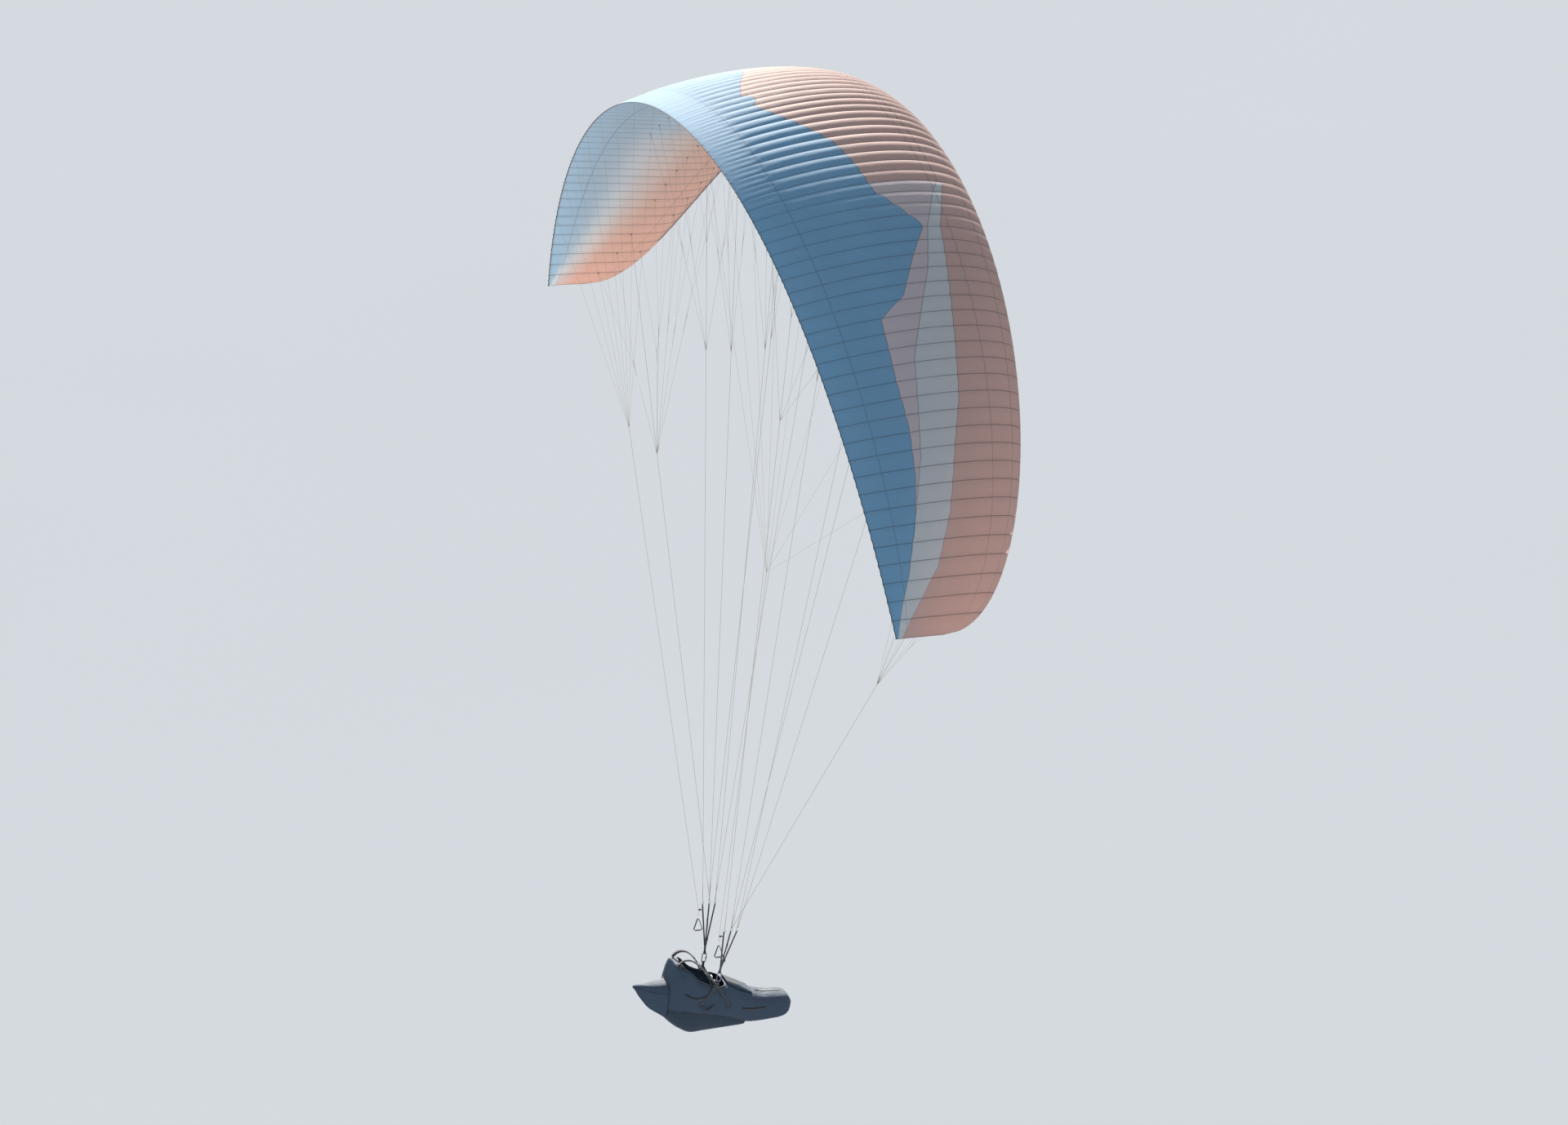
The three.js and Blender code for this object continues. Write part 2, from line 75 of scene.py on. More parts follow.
# Canopy, the same sizes as the part's source
HALF_FLAT_SPAN = 6.3
ARC_RADIUS = 5.78
ROOT_CHORD = 2.15
LIFT_CENTRE = 0.3
NOSE_SWEEP = 1.4
NOSE_POWER = 2.19
TAIL_SWEEP = 0.33
THICKNESS = 0.17
CAMBER = 0.03
TRAILING_EDGE = 0.006
CELLS = 40  # to a side
OPEN_CELLS = 36  # the outermost cells have no intake
UPPER_BULGE = 0.024
LOWER_BULGE = 0.011
INTAKE = (0.017, 0.047)  # the intake's lips, as parts of the chord
STEPS = 8  # mesh columns to a cell
SCALLOP = 0.012  # how far the cloth draws in between two ribs at the trailing edge
MINI_RIBS = 0.85  # part of the chord where short ribs halve the cells

# Stripes of the upper skin: part of the half span, part of the chord ahead of the trailing edge. The pink band
# is a white panel with a painted pink glow of orange light coming through it.
BLUE_FRONT = [(0, 0.34), (0.03, 0.30), (0.09, 0.36), (0.19, 0.48), (0.25, 0.51), (0.32, 0.53), (0.40, 0.68),
              (0.45, 0.59), (0.52, 0.48), (0.553, 0.345), (0.65, 0.335), (0.72, 0.345), (0.79, 0.33),
              (0.85, 0.29), (0.92, 0.20), (1, 0.03)]
PINK_FRONT = [(0, 0.84), (0.30, 0.84), (0.33, 0.79), (0.40, 0.70), (0.48, 0.63), (0.556, 0.53), (0.62, 0.45),
              (0.69, 0.415), (0.76, 0.38), (0.83, 0.31), (0.92, 0.20), (1, 0.03)]
WHITE_FRONT = [(0, 0.34), (0.03, 0.30), (0.09, 0.36), (0.19, 0.48), (0.25, 0.51), (0.30, 0.524),
               (0.305, 0.86), (0.40, 0.76), (0.55, 0.69), (0.685, 0.635), (0.75, 0.58), (0.84, 0.52),
               (0.91, 0.43), (0.95, 0.30), (1, 0.10)]
# And of the lower skin, whose pale, cream and peach areas are partly cloth colour and partly painted glow of
# the upper skin's colours coming through
PALE_FRONT = [(0, 0.55), (0.5, 0.52), (0.8, 0.46), (1, 0.25)]
CREAM_SHARE = [(0, 0), (0.15, 0.05), (0.45, 1), (1, 1)]

# Hang point, midway between the karabiners
HANG = np.array([-0.95, 0, -8.46])
HARNESS_PITCH = math.radians(6.5)  # nose down


# Points and meshes


def xyz(x, y, z):
    """Points of coordinates that are numbers or arrays."""
    return np.stack(np.broadcast_arrays(*(np.asarray(v, float) for v in (x, y, z))), -1)


def unit(vectors):
    vectors = np.asarray(vectors, float)
    return vectors / np.maximum(np.linalg.norm(vectors, axis=-1, keepdims=True), 1e-12)


def around(count):
    """Angles of a full turn, in equal steps."""
    return np.arange(count) / count * 2 * math.pi


def signed_power(values, power):
    return np.sign(values) * np.abs(values) ** power


def distances(path):
    """How far along a path each of its points is."""
    return np.concatenate([[0], np.cumsum(np.linalg.norm(np.diff(path, axis=0), axis=1))])


def sampled(at, run, values):
    return np.stack([np.interp(at, run, values[:, k]) for k in range(3)], -1)


def quads(rows, columns, closed=False):
    """The faces of a grid of points; closed joins the last column to the first."""
    r, c = np.meshgrid(np.arange(rows - 1), np.arange(columns if closed else columns - 1), indexing="ij")
    after = (c + 1) % columns
    here, below = r * columns, (r + 1) * columns
    return np.stack([here + c, here + after, below + after, below + c], -1)


def face_list(rows, columns, closed=False):
    return quads(rows, columns, closed).reshape(-1, 4).tolist()


def slab_faces(rows, columns):
    """The faces of two grids, one after the other, and of the walls between their rims."""
    count = rows * columns
    upper = face_list(rows, columns)
    rim = list(range(columns)) + [r * columns + columns - 1 for r in range(1, rows)]
    rim += [(rows - 1) * columns + i for i in range(columns - 2, -1, -1)]
    rim += [r * columns for r in range(rows - 2, 0, -1)]
    walls = [[rim[i - 1], rim[i], count + rim[i], count + rim[i - 1]] for i in range(len(rim))]
    return upper + [[count + i for i in face[::-1]] for face in upper] + walls


def linked(name, data):
    made = bpy.data.objects.new(name, data)
    bpy.context.scene.collection.objects.link(made)
    return made


def mesh_object(name, points, faces, look, body=None):
    mesh = bpy.data.meshes.new(name)
    mesh.from_pydata(np.asarray(points, float).reshape(-1, 3).tolist(), [], [tuple(f) for f in faces])
    mesh.shade_smooth()
    mesh.materials.append(look)
    made = linked(name, mesh)
    if body:
        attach(made, body)
    return made


def corners(made):
    out = np.zeros(len(made.data.vertices) * 3)
    made.data.vertices.foreach_get("co", out)
    return out.reshape(-1, 3)


class Soup:
    """Collects many small forms for one piece."""

    def __init__(self):
        self.points, self.faces, self.size = [], [], 0

    def add(self, points, faces):
        points = np.asarray(points, float).reshape(-1, 3)
        self.points.append(points)
        self.faces += [[self.size + int(i) for i in face] for face in faces]
        self.size += len(points)

    def swept(self, path, across, section, closed=False):
        """A section of (along across, along normal) offsets carried along a path."""
        path = np.asarray(path, float)
        along = unit(np.roll(path, -1, 0) - np.roll(path, 1, 0) if closed else np.gradient(path, axis=0))
        across = np.broadcast_to(np.asarray(across, float), path.shape)
        across = unit(across - (across * along).sum(-1, keepdims=True) * along)
        normal = np.cross(along, across)
        section = np.asarray(section, float)
        if section.ndim == 2:
            section = np.broadcast_to(section, (len(path),) + section.shape)
        points = path[:, None] + section[..., :1] * across[:, None] + section[..., 1:] * normal[:, None]
        rings, sides = points.shape[:2]
        last = (rings - 1) * sides
        faces = face_list(rings, sides, closed=True)
        if closed:
            faces += [[last + i, last + (i + 1) % sides, (i + 1) % sides, i] for i in range(sides)]
        else:
            faces += [list(range(sides))[::-1], [last + i for i in range(sides)]]
        self.add(points, faces)

    def tube(self, path, radius, sides=6, closed=False):
        path = np.asarray(path, float)
        run = path[-1] - path[0] if not closed else path[len(path) // 3] - path[0]
        helper = np.eye(3)[np.argmin(np.abs(run))]
        angles = around(sides)
        ring = np.stack([np.cos(angles), np.sin(angles)], -1)
        radius = np.asarray(radius, float).reshape(-1, 1, 1) if np.ndim(radius) else radius
        self.swept(path, helper, ring * radius, closed)

    def strap(self, path, across, width, thickness):
        half, edge, flat = width / 2, thickness / 2, width / 2 - thickness * 0.4
        outline = [(-half, 0), (-flat, -edge), (flat, -edge), (half, 0), (flat, edge), (-flat, edge)]
        self.swept(path, across, outline)

    def stitches(self, path, up, pitch=0.006, length=0.0042, radius=0.0006):
        """Short threads along a path, half sunk in the cloth."""
        path = np.asarray(path, float)
        run = distances(path)
        starts = np.arange(pitch / 2, run[-1] - length, pitch)
        begins, ends = sampled(starts, run, path), sampled(starts + length, run, path)
        normal = unit(sampled(starts, run, np.broadcast_to(np.asarray(up, float), path.shape)))
        side = unit(np.cross(ends - begins, normal))
        for a, b, n, c in zip(begins, ends, normal, side):
            rise, half = n * radius, c * radius
            self.add([a - half, a + rise, a + half, b - half, b + rise, b + half],
                     [(0, 1, 4, 3), (1, 2, 5, 4), (0, 2, 1), (3, 4, 5)])

    def piece(self, name, look, body=None, slot=None):
        return mesh_object(name, np.concatenate(self.points), self.faces, look, body)


# Materials


class Look:
    """A material, and short calls that add nodes to it. Inputs are numbers, colours, nodes or sockets."""

    def __init__(self, name, **constants):
        self.material = bpy.data.materials.new(name)
        self.material.use_nodes = True
        self.tree = self.material.node_tree
        self.surface = self.tree.nodes["Principled BSDF"]
        for key, value in constants.items():
            self.plug(self.surface.inputs[key.replace("_", " ").title().replace("Ior", "IOR")], value)

    def plug(self, socket, value):
        if isinstance(value, bpy.types.Node):
            value = value.outputs[0]
        if isinstance(value, bpy.types.NodeSocket):
            self.tree.links.new(value, socket)
        elif socket.type == "RGBA":
            socket.default_value = (*value, 1)
        else:
            socket.default_value = value

    def colour(self, value):
        self.plug(self.surface.inputs["Base Color"], value)

    def roughness(self, grain, amount, least):
        self.plug(self.surface.inputs["Roughness"], self.math("MULTIPLY_ADD", grain, amount, least))

    def node(self, kind, *inputs, **settings):
        node = self.tree.nodes.new("ShaderNode" + kind)
        for key, value in settings.items():
            setattr(node, key, value)
        for socket, value in zip(node.inputs, inputs):
            self.plug(socket, value)
        return node

    def math(self, operation, *inputs):
        return self.node("Math", *inputs, operation=operation)

    def times(self, a, b):
        return self.math("MULTIPLY", a, b)

    def vector(self, operation, *inputs):
        return self.node("VectorMath", *inputs, operation=operation)

    def scaled(self, vector, scale):
        return self.vector("MULTIPLY", vector, scale)

    def band(self, value, middle, half):
        """1 where a value is close to the middle, and 0 elsewhere."""
        return self.math("LESS_THAN", self.math("ABSOLUTE", self.math("SUBTRACT", value, middle)), half)

    def mix(self, share, a, b):
        node = self.node("Mix", data_type="RGBA")
        for index, value in ((0, share), (6, a), (7, b)):
            self.plug(node.inputs[index], value)
        return node.outputs[2]

    def attribute(self, name, output=2):
        return self.node("Attribute", attribute_name=name).outputs[output]

    def position(self):
        return self.node("TexCoord").outputs["Object"]

    def noise(self, coordinates, scale, detail=3.0):
        node = self.node("TexNoise", coordinates)
        node.inputs["Scale"].default_value = scale
        node.inputs["Detail"].default_value = detail
        return node.outputs[0]

    def faded(self, colour, amount, scale=3.0):
        """A colour that varies softly over the surface."""
        dark = tuple(c * (1 - amount) for c in colour)
        light = tuple(min(1, c * (1 + amount)) for c in colour)
        return self.mix(self.noise(self.position(), scale), dark, light)

    def curve(self, value, knots):
        node = self.node("FloatCurve", 1.0, value)
        line = node.mapping.curves[0]
        for x, y in knots[1:-1]:
            line.points.new(x, y)
        line.points[0].location, line.points[-1].location = knots[0], knots[-1]
        for point in line.points:
            point.handle_type = "VECTOR"
        node.mapping.update()
        return node

    def weave(self, pitch):
        """The height of a plain weave on any surface, 0 to about 1."""
        waves = self.vector("SINE", self.scaled(self.position(), (2 * math.pi / pitch,) * 3))
        normal = self.node("TexCoord").outputs["Normal"]
        facing = self.scaled(self.vector("SUBTRACT", (1.0,) * 3, self.scaled(normal, normal)), (0.5,) * 3)
        return self.vector("DOT_PRODUCT", self.vector("ABSOLUTE", waves), facing).outputs["Value"]

    def bump(self, height, strength, distance=0.001, under=None):
        node = self.node("Bump", strength, distance)
        self.plug(node.inputs["Height"], height)
        if under:
            self.plug(node.inputs["Normal"], under)
        self.plug(self.surface.inputs["Normal"], node)
        return node

    def translucent(self, share, colour):
        """Lets part of the light through, as thin cloth does."""
        glow = self.node("BsdfTranslucent", colour)
        both = self.node("MixShader", share, self.surface, glow)
        self.plug(self.tree.nodes["Material Output"].inputs["Surface"], both)


BLUE = (0.17, 0.37, 0.58)
# Painted light: the white panel's rear part, tinted pink as if the lower skin's orange glowed through it
PAINTED_PINK_GLOW = (0.56, 0.49, 0.53)
WHITE = (0.56, 0.59, 0.63)
SALMON = (0.57, 0.385, 0.35)
# Lower skin: cloth colours, made near white and peach partly as painted glow of light through the upper skin
PALE = (0.86, 0.86, 0.84)
CREAM = (0.94, 0.91, 0.87)
PEACH = (0.96, 0.70, 0.58)
SHADE = (0.30, 0.33, 0.36)
# Dark of the seams: sewn seams, and over the ribs also painted shade of the creases
SEAM_AND_CREASE_SHADE = (0.08, 0.09, 0.11)
RIPSTOP = (0.9, 0.92, 0.95)
RIB_SEAM_AND_SHADE_HALF = 0.028  # half width of a seam over a rib, and of the painted shade of the crease there, in cells
PANEL_SEAM_HALF = 0.0022  # and of a seam between two colours, as a part of the chord
CROSS_SEAMS, CROSS_SEAM_HALF = (0.80, 0.93, 0.15), 0.0016  # seams along the span, as parts of the chord
RIPSTOP_THREADS, THREAD_SHARE = 160.0, 0.13  # threads to a metre, and how much of their pitch each takes up


def canopy_look(name, lower):
    """Coloured panels of ripstop cloth, with the seams over the ribs and between the panels; over the ribs the
    dark of the seam is partly painted shade of the crease.
    """
    look = Look(name, roughness=0.7, specular_ior_level=0.13)
    cell, fore, flat = look.attribute("cell"), look.attribute("fore"), look.attribute("flat", 1)
    span = look.math("DIVIDE", cell, CELLS)
    rib = look.math("PINGPONG", cell, 0.5)  # distance to the nearest rib, in cells
    # Over the ribs this seam mask also paints the shade of the crease where the cloth is sewn to the rib
    seams = look.math("LESS_THAN", rib, RIB_SEAM_AND_SHADE_HALF)
    if lower:
        # Pale to cream towards the trailing edge and peach at the nose: partly cloth colour, partly painted
        # glow of the upper skin's colours
        ahead = look.math("SUBTRACT", fore, look.curve(span, PALE_FRONT))
        soft = look.node("MapRange", ahead, -0.10, 0.16, 0.0, 1.0)
        colour = look.mix(soft, look.mix(look.curve(fore, CREAM_SHARE), PALE, CREAM), PEACH)
    else:
        fronts = [look.curve(span, knots) for knots in (BLUE_FRONT, PINK_FRONT, WHITE_FRONT)]
        ahead = [look.math("GREATER_THAN", fore, front) for front in fronts]
        # Behind the pink front the white panel gets a painted pink glow, as of the lower skin's orange shining
        # through
        colour = look.mix(ahead[0], BLUE, PAINTED_PINK_GLOW)
        colour = look.mix(look.times(ahead[0], ahead[1]), colour, WHITE)
        colour = look.mix(ahead[2], colour, SALMON)
        for front in fronts:
            seams = look.math("MAXIMUM", seams, look.band(fore, front, PANEL_SEAM_HALF))
    for cross in CROSS_SEAMS:
        seams = look.math("MAXIMUM", seams, look.band(fore, cross, CROSS_SEAM_HALF))
    shade = look.noise(look.scaled(flat, (1.4, 0.5, 1)), 2.0)
    colour = look.mix(look.times(shade, 0.16), colour, SHADE)
    # Darkens the sewn seams, and over the ribs paints the shade of the creases
    colour = look.mix(look.times(seams, 0.5), colour, SEAM_AND_CREASE_SHADE)
    ripstop = look.vector("FRACTION", look.scaled(flat, (RIPSTOP_THREADS, RIPSTOP_THREADS, 0.0)))
    grid = look.node("SeparateXYZ", ripstop)
    threads = look.math("MAXIMUM", *(look.math("LESS_THAN", grid.outputs[k], THREAD_SHARE) for k in (0, 1)))
    colour = look.mix(look.times(threads, 0.10), colour, RIPSTOP)
    look.colour(colour)
    # Puckers run out from the ribs and die away towards the middle of the cell
    near_rib = look.math("POWER", look.math("SUBTRACT", 1.0, look.times(rib, 2.0)), 3.0)
    calm = look.node("MapRange", fore, 0.05, 0.35, 0.25, 1.0)
    pucker = look.times(look.noise(look.scaled(flat, (5.0, 34.0, 1.0)), 1.0), near_rib)
    wave = look.times(look.noise(look.scaled(flat, (7.0, 2.5, 1.0)), 1.0), calm)
    soft = look.bump(wave, 0.35, 0.02)
    folds = look.bump(look.times(pucker, calm), 0.5, 0.012, soft)
    fine = look.bump(threads, 0.12, 0.0004, folds)
    look.bump(seams, 0.5, 0.0012, fine)
    look.translucent(0.6 if lower else 0.38, colour)
    return look.material


def darker(colour, share):
    return tuple(c * share for c in colour)


def cloth_look(name, colour, pitch=0.0012, roughness=0.75, sheen=0.3):
    look = Look(name, roughness=roughness, sheen_weight=sheen, specular_ior_level=0.25)
    weave = look.weave(pitch)
    look.colour(look.mix(look.times(weave, 0.35), look.faded(colour, 0.14), darker(colour, 0.55)))
    folds = look.bump(look.noise(look.position(), 14.0, 4.0), 0.35, 0.012)
    look.bump(weave, 0.5, 0.0006, folds)
    return look.material


def webbing_look(name, colour):
    look = Look(name, roughness=0.8, sheen_weight=0.35)
    weave = look.weave(0.0016)
    look.colour(look.mix(weave, darker(colour, 0.5), look.faded(colour, 0.25, 30.0)))
    look.bump(weave, 0.8, 0.0008)
    return look.material


def metal_look(name, colour, roughness):
    look = Look(name, metallic=1.0)
    scuffs = look.noise(look.scaled(look.position(), (60.0, 60.0, 900.0)), 1.0, 5.0)
    wear = look.noise(look.position(), 40.0)
    look.colour(look.mix(wear, darker(colour, 0.75), colour))
    look.roughness(scuffs, 0.25, roughness - 0.1)
    look.bump(scuffs, 0.08, 0.0005)
    return look.material


def plastic_look(name, colour, roughness=0.45):
    look = Look(name)
    grain = look.noise(look.position(), 900.0, 2.0)
    look.colour(look.faded(colour, 0.12, 60.0))
    look.roughness(grain, 0.12, roughness - 0.06)
    look.bump(grain, 0.25, 0.0003)
    return look.material


def line_look(name, colour):
    """A braided sheath."""
    look = Look(name, roughness=0.7)
    braid = look.noise(look.scaled(look.position(), (900.0, 900.0, 300.0)), 1.0, 1.0)
    look.colour(look.mix(braid, darker(colour, 0.7), colour))
    look.bump(braid, 0.4, 0.0004)
    return look.material


def rib_look():
    look = Look("rib_cloth", roughness=0.5)
    colour = look.faded((0.62, 0.64, 0.66), 0.08)
    look.colour(colour)
    look.bump(look.weave(0.004), 0.2, 0.0005)
    look.translucent(0.35, colour)
    return look.material


UPPER_CLOTH = canopy_look("upper_cloth", lower=False)
LOWER_CLOTH = canopy_look("lower_cloth", lower=True)
RIB_CLOTH = rib_look()
HEM = webbing_look("hem_tape", (0.05, 0.07, 0.10))
MAIN_SHEATH = line_look("main_line_sheath", (0.42, 0.36, 0.27))
UPPER_SHEATH = line_look("upper_line_sheath", (0.50, 0.45, 0.36))
BRAKE_SHEATH = line_look("brake_line_sheath", (0.60, 0.40, 0.10))
WEBBING = webbing_look("black_webbing", (0.055, 0.06, 0.07))
THREAD = webbing_look("thread", (0.32, 0.34, 0.38))
POD_CLOTH = cloth_look("pod_cloth", (0.060, 0.092, 0.140), sheen=0.0)
PROTECTOR_CLOTH = cloth_look("protector_cloth", (0.050, 0.072, 0.105), 0.0018, sheen=0.0)
PIPING = cloth_look("piping", (0.020, 0.024, 0.032), 0.001, 0.6)
PADDING = cloth_look("padding_cloth", (0.055, 0.060, 0.070), 0.0035, 0.85, 0.5)
STEEL = metal_look("stainless_steel", (0.62, 0.63, 0.65), 0.28)
ALLOY = metal_look("anodised_alloy", (0.30, 0.33, 0.38), 0.35)
PLASTIC = plastic_look("black_plastic", (0.03, 0.032, 0.036))
COMPOSITE = plastic_look("composite_board", (0.035, 0.036, 0.04), 0.3)
HANDLE_WEB = webbing_look("handle_webbing", (0.035, 0.055, 0.085))
HOOK_TAPE = cloth_look("hook_tape", (0.018, 0.019, 0.022), 0.0028, 0.95)


# Canopy


def nose_x(u):
    a = np.minimum(1, np.abs(u))
    return ROOT_CHORD * LIFT_CENTRE - NOSE_SWEEP * (1 - (1 - a**NOSE_POWER) ** (1 / NOSE_POWER))


def tail_x(u):
    return ROOT_CHORD * (LIFT_CENTRE - 1) + TAIL_SWEEP * np.square(u)


def smoothstep(t):
    t = np.clip(t, 0, 1)
    return t * t * (3 - 2 * t)


def smooth_place(value):
    """Where smoothstep has a value."""
    return 0.5 - math.sin(math.asin(1 - 2 * value) / 3)


def puff(cell, s):
    """How far the cloth swells at a place across a cell: 0 at a rib and 1 midway between two."""
    across, half = cell % 1, (2 * cell) % 1
    share = smoothstep((s - MINI_RIBS + 0.02) / 0.04)
    uneven = 1 + 0.10 * np.sin(np.floor(cell) * 12.9898)
    return uneven * (4 * across * (1 - across) * (1 - share) + 1.6 * half * (1 - half) * share)


def skin(u, s, side, bulge=0.0, out=0.0):
    """Points on the canopy's skin: u along the span, s back along the chord, side 1 above and -1 below."""
    u, s, side, bulge = np.broadcast_arrays(*(np.asarray(v, float) for v in (u, s, side, bulge)))
    chord = nose_x(u) - tail_x(u)
    thickness = THICKNESS * (1 - 0.75 * np.abs(u) ** 10)
    half = 5 * thickness * (0.2969 * np.sqrt(s) - 0.126 * s - 0.3516 * s**2 + 0.2843 * s**3 - 0.1036 * s**4)
    swell = np.sqrt(np.minimum(1, s / 0.12)) * (1 - s) ** 0.4
    swelling = bulge * swell * np.where(side > 0, UPPER_BULGE, LOWER_BULGE)
    height = chord * 4 * CAMBER * s * (1 - s) + side * (chord * half + TRAILING_EDGE / 2 + swelling + out)
    angle = u * HALF_FLAT_SPAN / ARC_RADIUS
    reach = ARC_RADIUS + height
    x = nose_x(u) - s * chord + SCALLOP * bulge * s**16
    return xyz(x, reach * np.sin(angle), reach * np.cos(angle) - ARC_RADIUS)


def set_attribute(mesh, name, kind, values, used):
    """Gives the vertices that are used their values of a whole grid."""
    values = values.reshape(-1, values.shape[-1])[used].astype(np.float32).ravel()
    mesh.attributes.new(name, kind, "POINT").data.foreach_set("value" if kind == "FLOAT" else "vector", values)


def skin_piece(name, sign, rows, look, open_cells=0):
    """A sheet of (side, s) rows over a half canopy. Its first strip of faces is open along the first cells."""
    cell = np.arange(CELLS * STEPS + 1)[None, :] / STEPS
    side, s = (np.array(values, float)[:, None] for values in zip(*rows))
    points = skin(sign * cell / CELLS, s, side, puff(cell, s))
    count, width = points.shape[:2]
    faces = quads(count, width)
    kept = np.ones(faces.shape[:2], bool)
    kept[0, :open_cells * STEPS] = False
    faces = faces[kept]
    if (sign > 0) == (rows[0][1] > rows[-1][1]):
        faces = faces[:, ::-1]
    used, index = np.unique(faces, return_inverse=True)
    made = mesh_object(name, points.reshape(-1, 3)[used], index.reshape(-1, 4), look)
    mesh = made.data
    fore = np.where((side < 0) & (s < INTAKE[0] + 1e-6), 1 + s, 1 - s)
    set_attribute(mesh, "cell", "FLOAT", np.broadcast_to(cell, (count, width))[..., None], used)
    set_attribute(mesh, "fore", "FLOAT", np.broadcast_to(fore, (count, width))[..., None], used)
    metres = xyz(cell * HALF_FLAT_SPAN / CELLS, distances(points[:, 0])[:, None], 0)
    set_attribute(mesh, "flat", "FLOAT_VECTOR", metres, used)
    # The sheet creases where it is sewn to the ribs
    edges = np.zeros(len(mesh.edges) * 2, int)
    mesh.edges.foreach_get("vertices", edges)
    column = (used % width)[edges.reshape(-1, 2)]
    sharp = (column[:, 0] == column[:, 1]) & (column[:, 0] % STEPS == 0)
    mesh.attributes.new("sharp_edge", "BOOLEAN", "EDGE").data.foreach_set("value", sharp)
    return made


def chord_stations(count, start=0.0):
    return start + (1 - start) * (1 - np.cos(np.linspace(0, math.pi, count))) / 2


def brake_field(side):
    """Start and end of a field along the span: none at mid span, more towards the tip."""
    start = Vector((float(tail_x(0)), 0, 0))
    lean = math.radians(10)
    return start, start + Vector((-math.cos(lean), side * math.sin(lean), 0))


def drawn_share(point, side):
    start, end = brake_field(side)
    along = end - start
    return float(smoothstep((Vector(point) - start).dot(along) / along.length_squared))


def brakes(piece):
    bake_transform(piece)


LIP = 0.006  # a row of the upper skin between the nose and the intake
# Parts of a rib's height; its ports are between the middle two
RIB_LEVELS = np.array([0, 0.25, 0.75, 1])[:, None, None]

for name, side in SIDES:
    panels = [f"canopy_{name}_{p}" for p in range(1, 6)]
    upper_rows = [(1, s) for s in chord_stations(46)[::-1]] + [(-1, LIP), (-1, INTAKE[0])]
    lower_rows = [(-1, INTAKE[0])] + [(-1, s) for s in chord_stations(38, INTAKE[1])]
    upper = skin_piece(f"upper_skin_{name}", side, upper_rows, UPPER_CLOTH)
    lower = skin_piece(f"lower_skin_{name}", side, lower_rows, LOWER_CLOTH, OPEN_CELLS)
    for piece, extent in ((upper, (1, 0, 1)), (lower, (-1, INTAKE[1], 1))):
        brakes(piece)
    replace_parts(upper, *panels)

    ribs = Soup()
    stations = chord_stations(25)
    faces = quads(len(RIB_LEVELS), len(stations))
    solid = np.ones(faces.shape[:2], bool)
    solid[1] = (np.arange(len(stations) - 1) % 3 == 0) | (stations[1:] <= 0.1) | (stations[1:] >= 0.8)
    for k in range(0 if side > 0 else 1, CELLS + 1):
        low, high = (skin(side * k / CELLS, stations, way) for way in (-1, 1))
        ribs.add(low + (high - low) * RIB_LEVELS, faces[solid] if k < CELLS else faces.reshape(-1, 4))
    brakes(ribs.piece(f"ribs_{name}", RIB_CLOTH))

    hems = Soup()
    for k in range(OPEN_CELLS):
        cell = k + np.linspace(0, 1, STEPS + 1)
        for s in INTAKE:
            hems.tube(skin(side * cell / CELLS, s, -1, puff(cell, s)), 0.0013, 4)
    for k in range(1, OPEN_CELLS + 1):
        hems.tube(skin(side * k / CELLS, np.linspace(*INTAKE, 4), -1), 0.0016, 4)
    brakes(hems.piece(f"intake_hems_{name}", HEM))

    tail = Soup()
    cell = np.arange(CELLS * STEPS + 1) / STEPS
    edge = sum(skin(side * cell / CELLS, 1, way, puff(cell, 1)) for way in (1, -1)) / 2
    outline = [(-0.006, 0), (-0.003, 0.0032), (0.004, 0.0028), (0.004, -0.0028), (-0.003, -0.0032)]
    tail.swept(edge, (1, 0, 0), outline)
    brakes(tail.piece(f"trailing_hem_{name}", HEM))

# Lines

A_ROW, B_ROW, C_ROW = 0.12, 0.35, 0.66
# The rib and the row that each main line runs to in the CAD
LINE_TOP = {"a1": (5, A_ROW), "a2": (15, A_ROW), "b1": (5, B_ROW), "b2": (15, B_ROW), "tip": (35, B_ROW),
            "c1": (9, C_ROW)}
# Main line, part of it at the fork, and for each branch the ribs and the row that it ends on
FORKS = [
    ("a1", 0.72, [((1, 3), A_ROW), ((7, 9), A_ROW)]),
    ("a2", 0.70, [((11, 13), A_ROW), ((17, 19), A_ROW), ((21, 23), A_ROW)]),
    ("b1", 0.72, [((1, 3), B_ROW), ((7, 9), B_ROW)]),
    ("b2", 0.70, [((11, 13), B_ROW), ((17, 19), B_ROW), ((21, 23), B_ROW)]),
    ("c1", 0.70, [((1, 3), C_ROW), ((5, 13), C_ROW), ((15, 17), C_ROW), ((19, 21), C_ROW)]),
    ("tip", 0.66, [((25, 27), A_ROW), ((29, 31), A_ROW), ((33, 37), A_ROW),
                   ((25, 27), B_ROW), ((29, 31), B_ROW), ((37, 39), B_ROW)]),
]
BRANCH_SHARE = 0.45  # part of the way from a fork to the cloth where a branch splits in two
UPPER_RADIUS = 0.0007
MAIN_RADIUS = 0.0013
BRAKE_RIB, BRAKE_FORK = 21, 0.62
BRAKE_RIBS = (5, 9, 13, 17, 21, 25, 29, 33)
FORK_SHARE = 0.35  # how much of the brake's travel the fork takes


def line_ends(node):
    """Lower and upper end of a straight CAD line."""
    points = corners(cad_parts[node])
    height = points[:, 2]
    return points[height < height.min() + 0.004].mean(0), points[height > height.max() - 0.004].mean(0)


def cloth_point(side, rib, s):
    return skin(side * rib / CELLS, s, -1, 0.0, 0.0008)


def splice(soup, a, b, radius, length=0.09):
    """The stitched, thicker end of a line at a."""
    along = unit(b - a)
    soup.tube([a, a + along * 0.012, a + along * length, a + along * (length + 0.02)],
              [radius * 1.7, radius * 2.0, radius * 1.7, radius], 5)


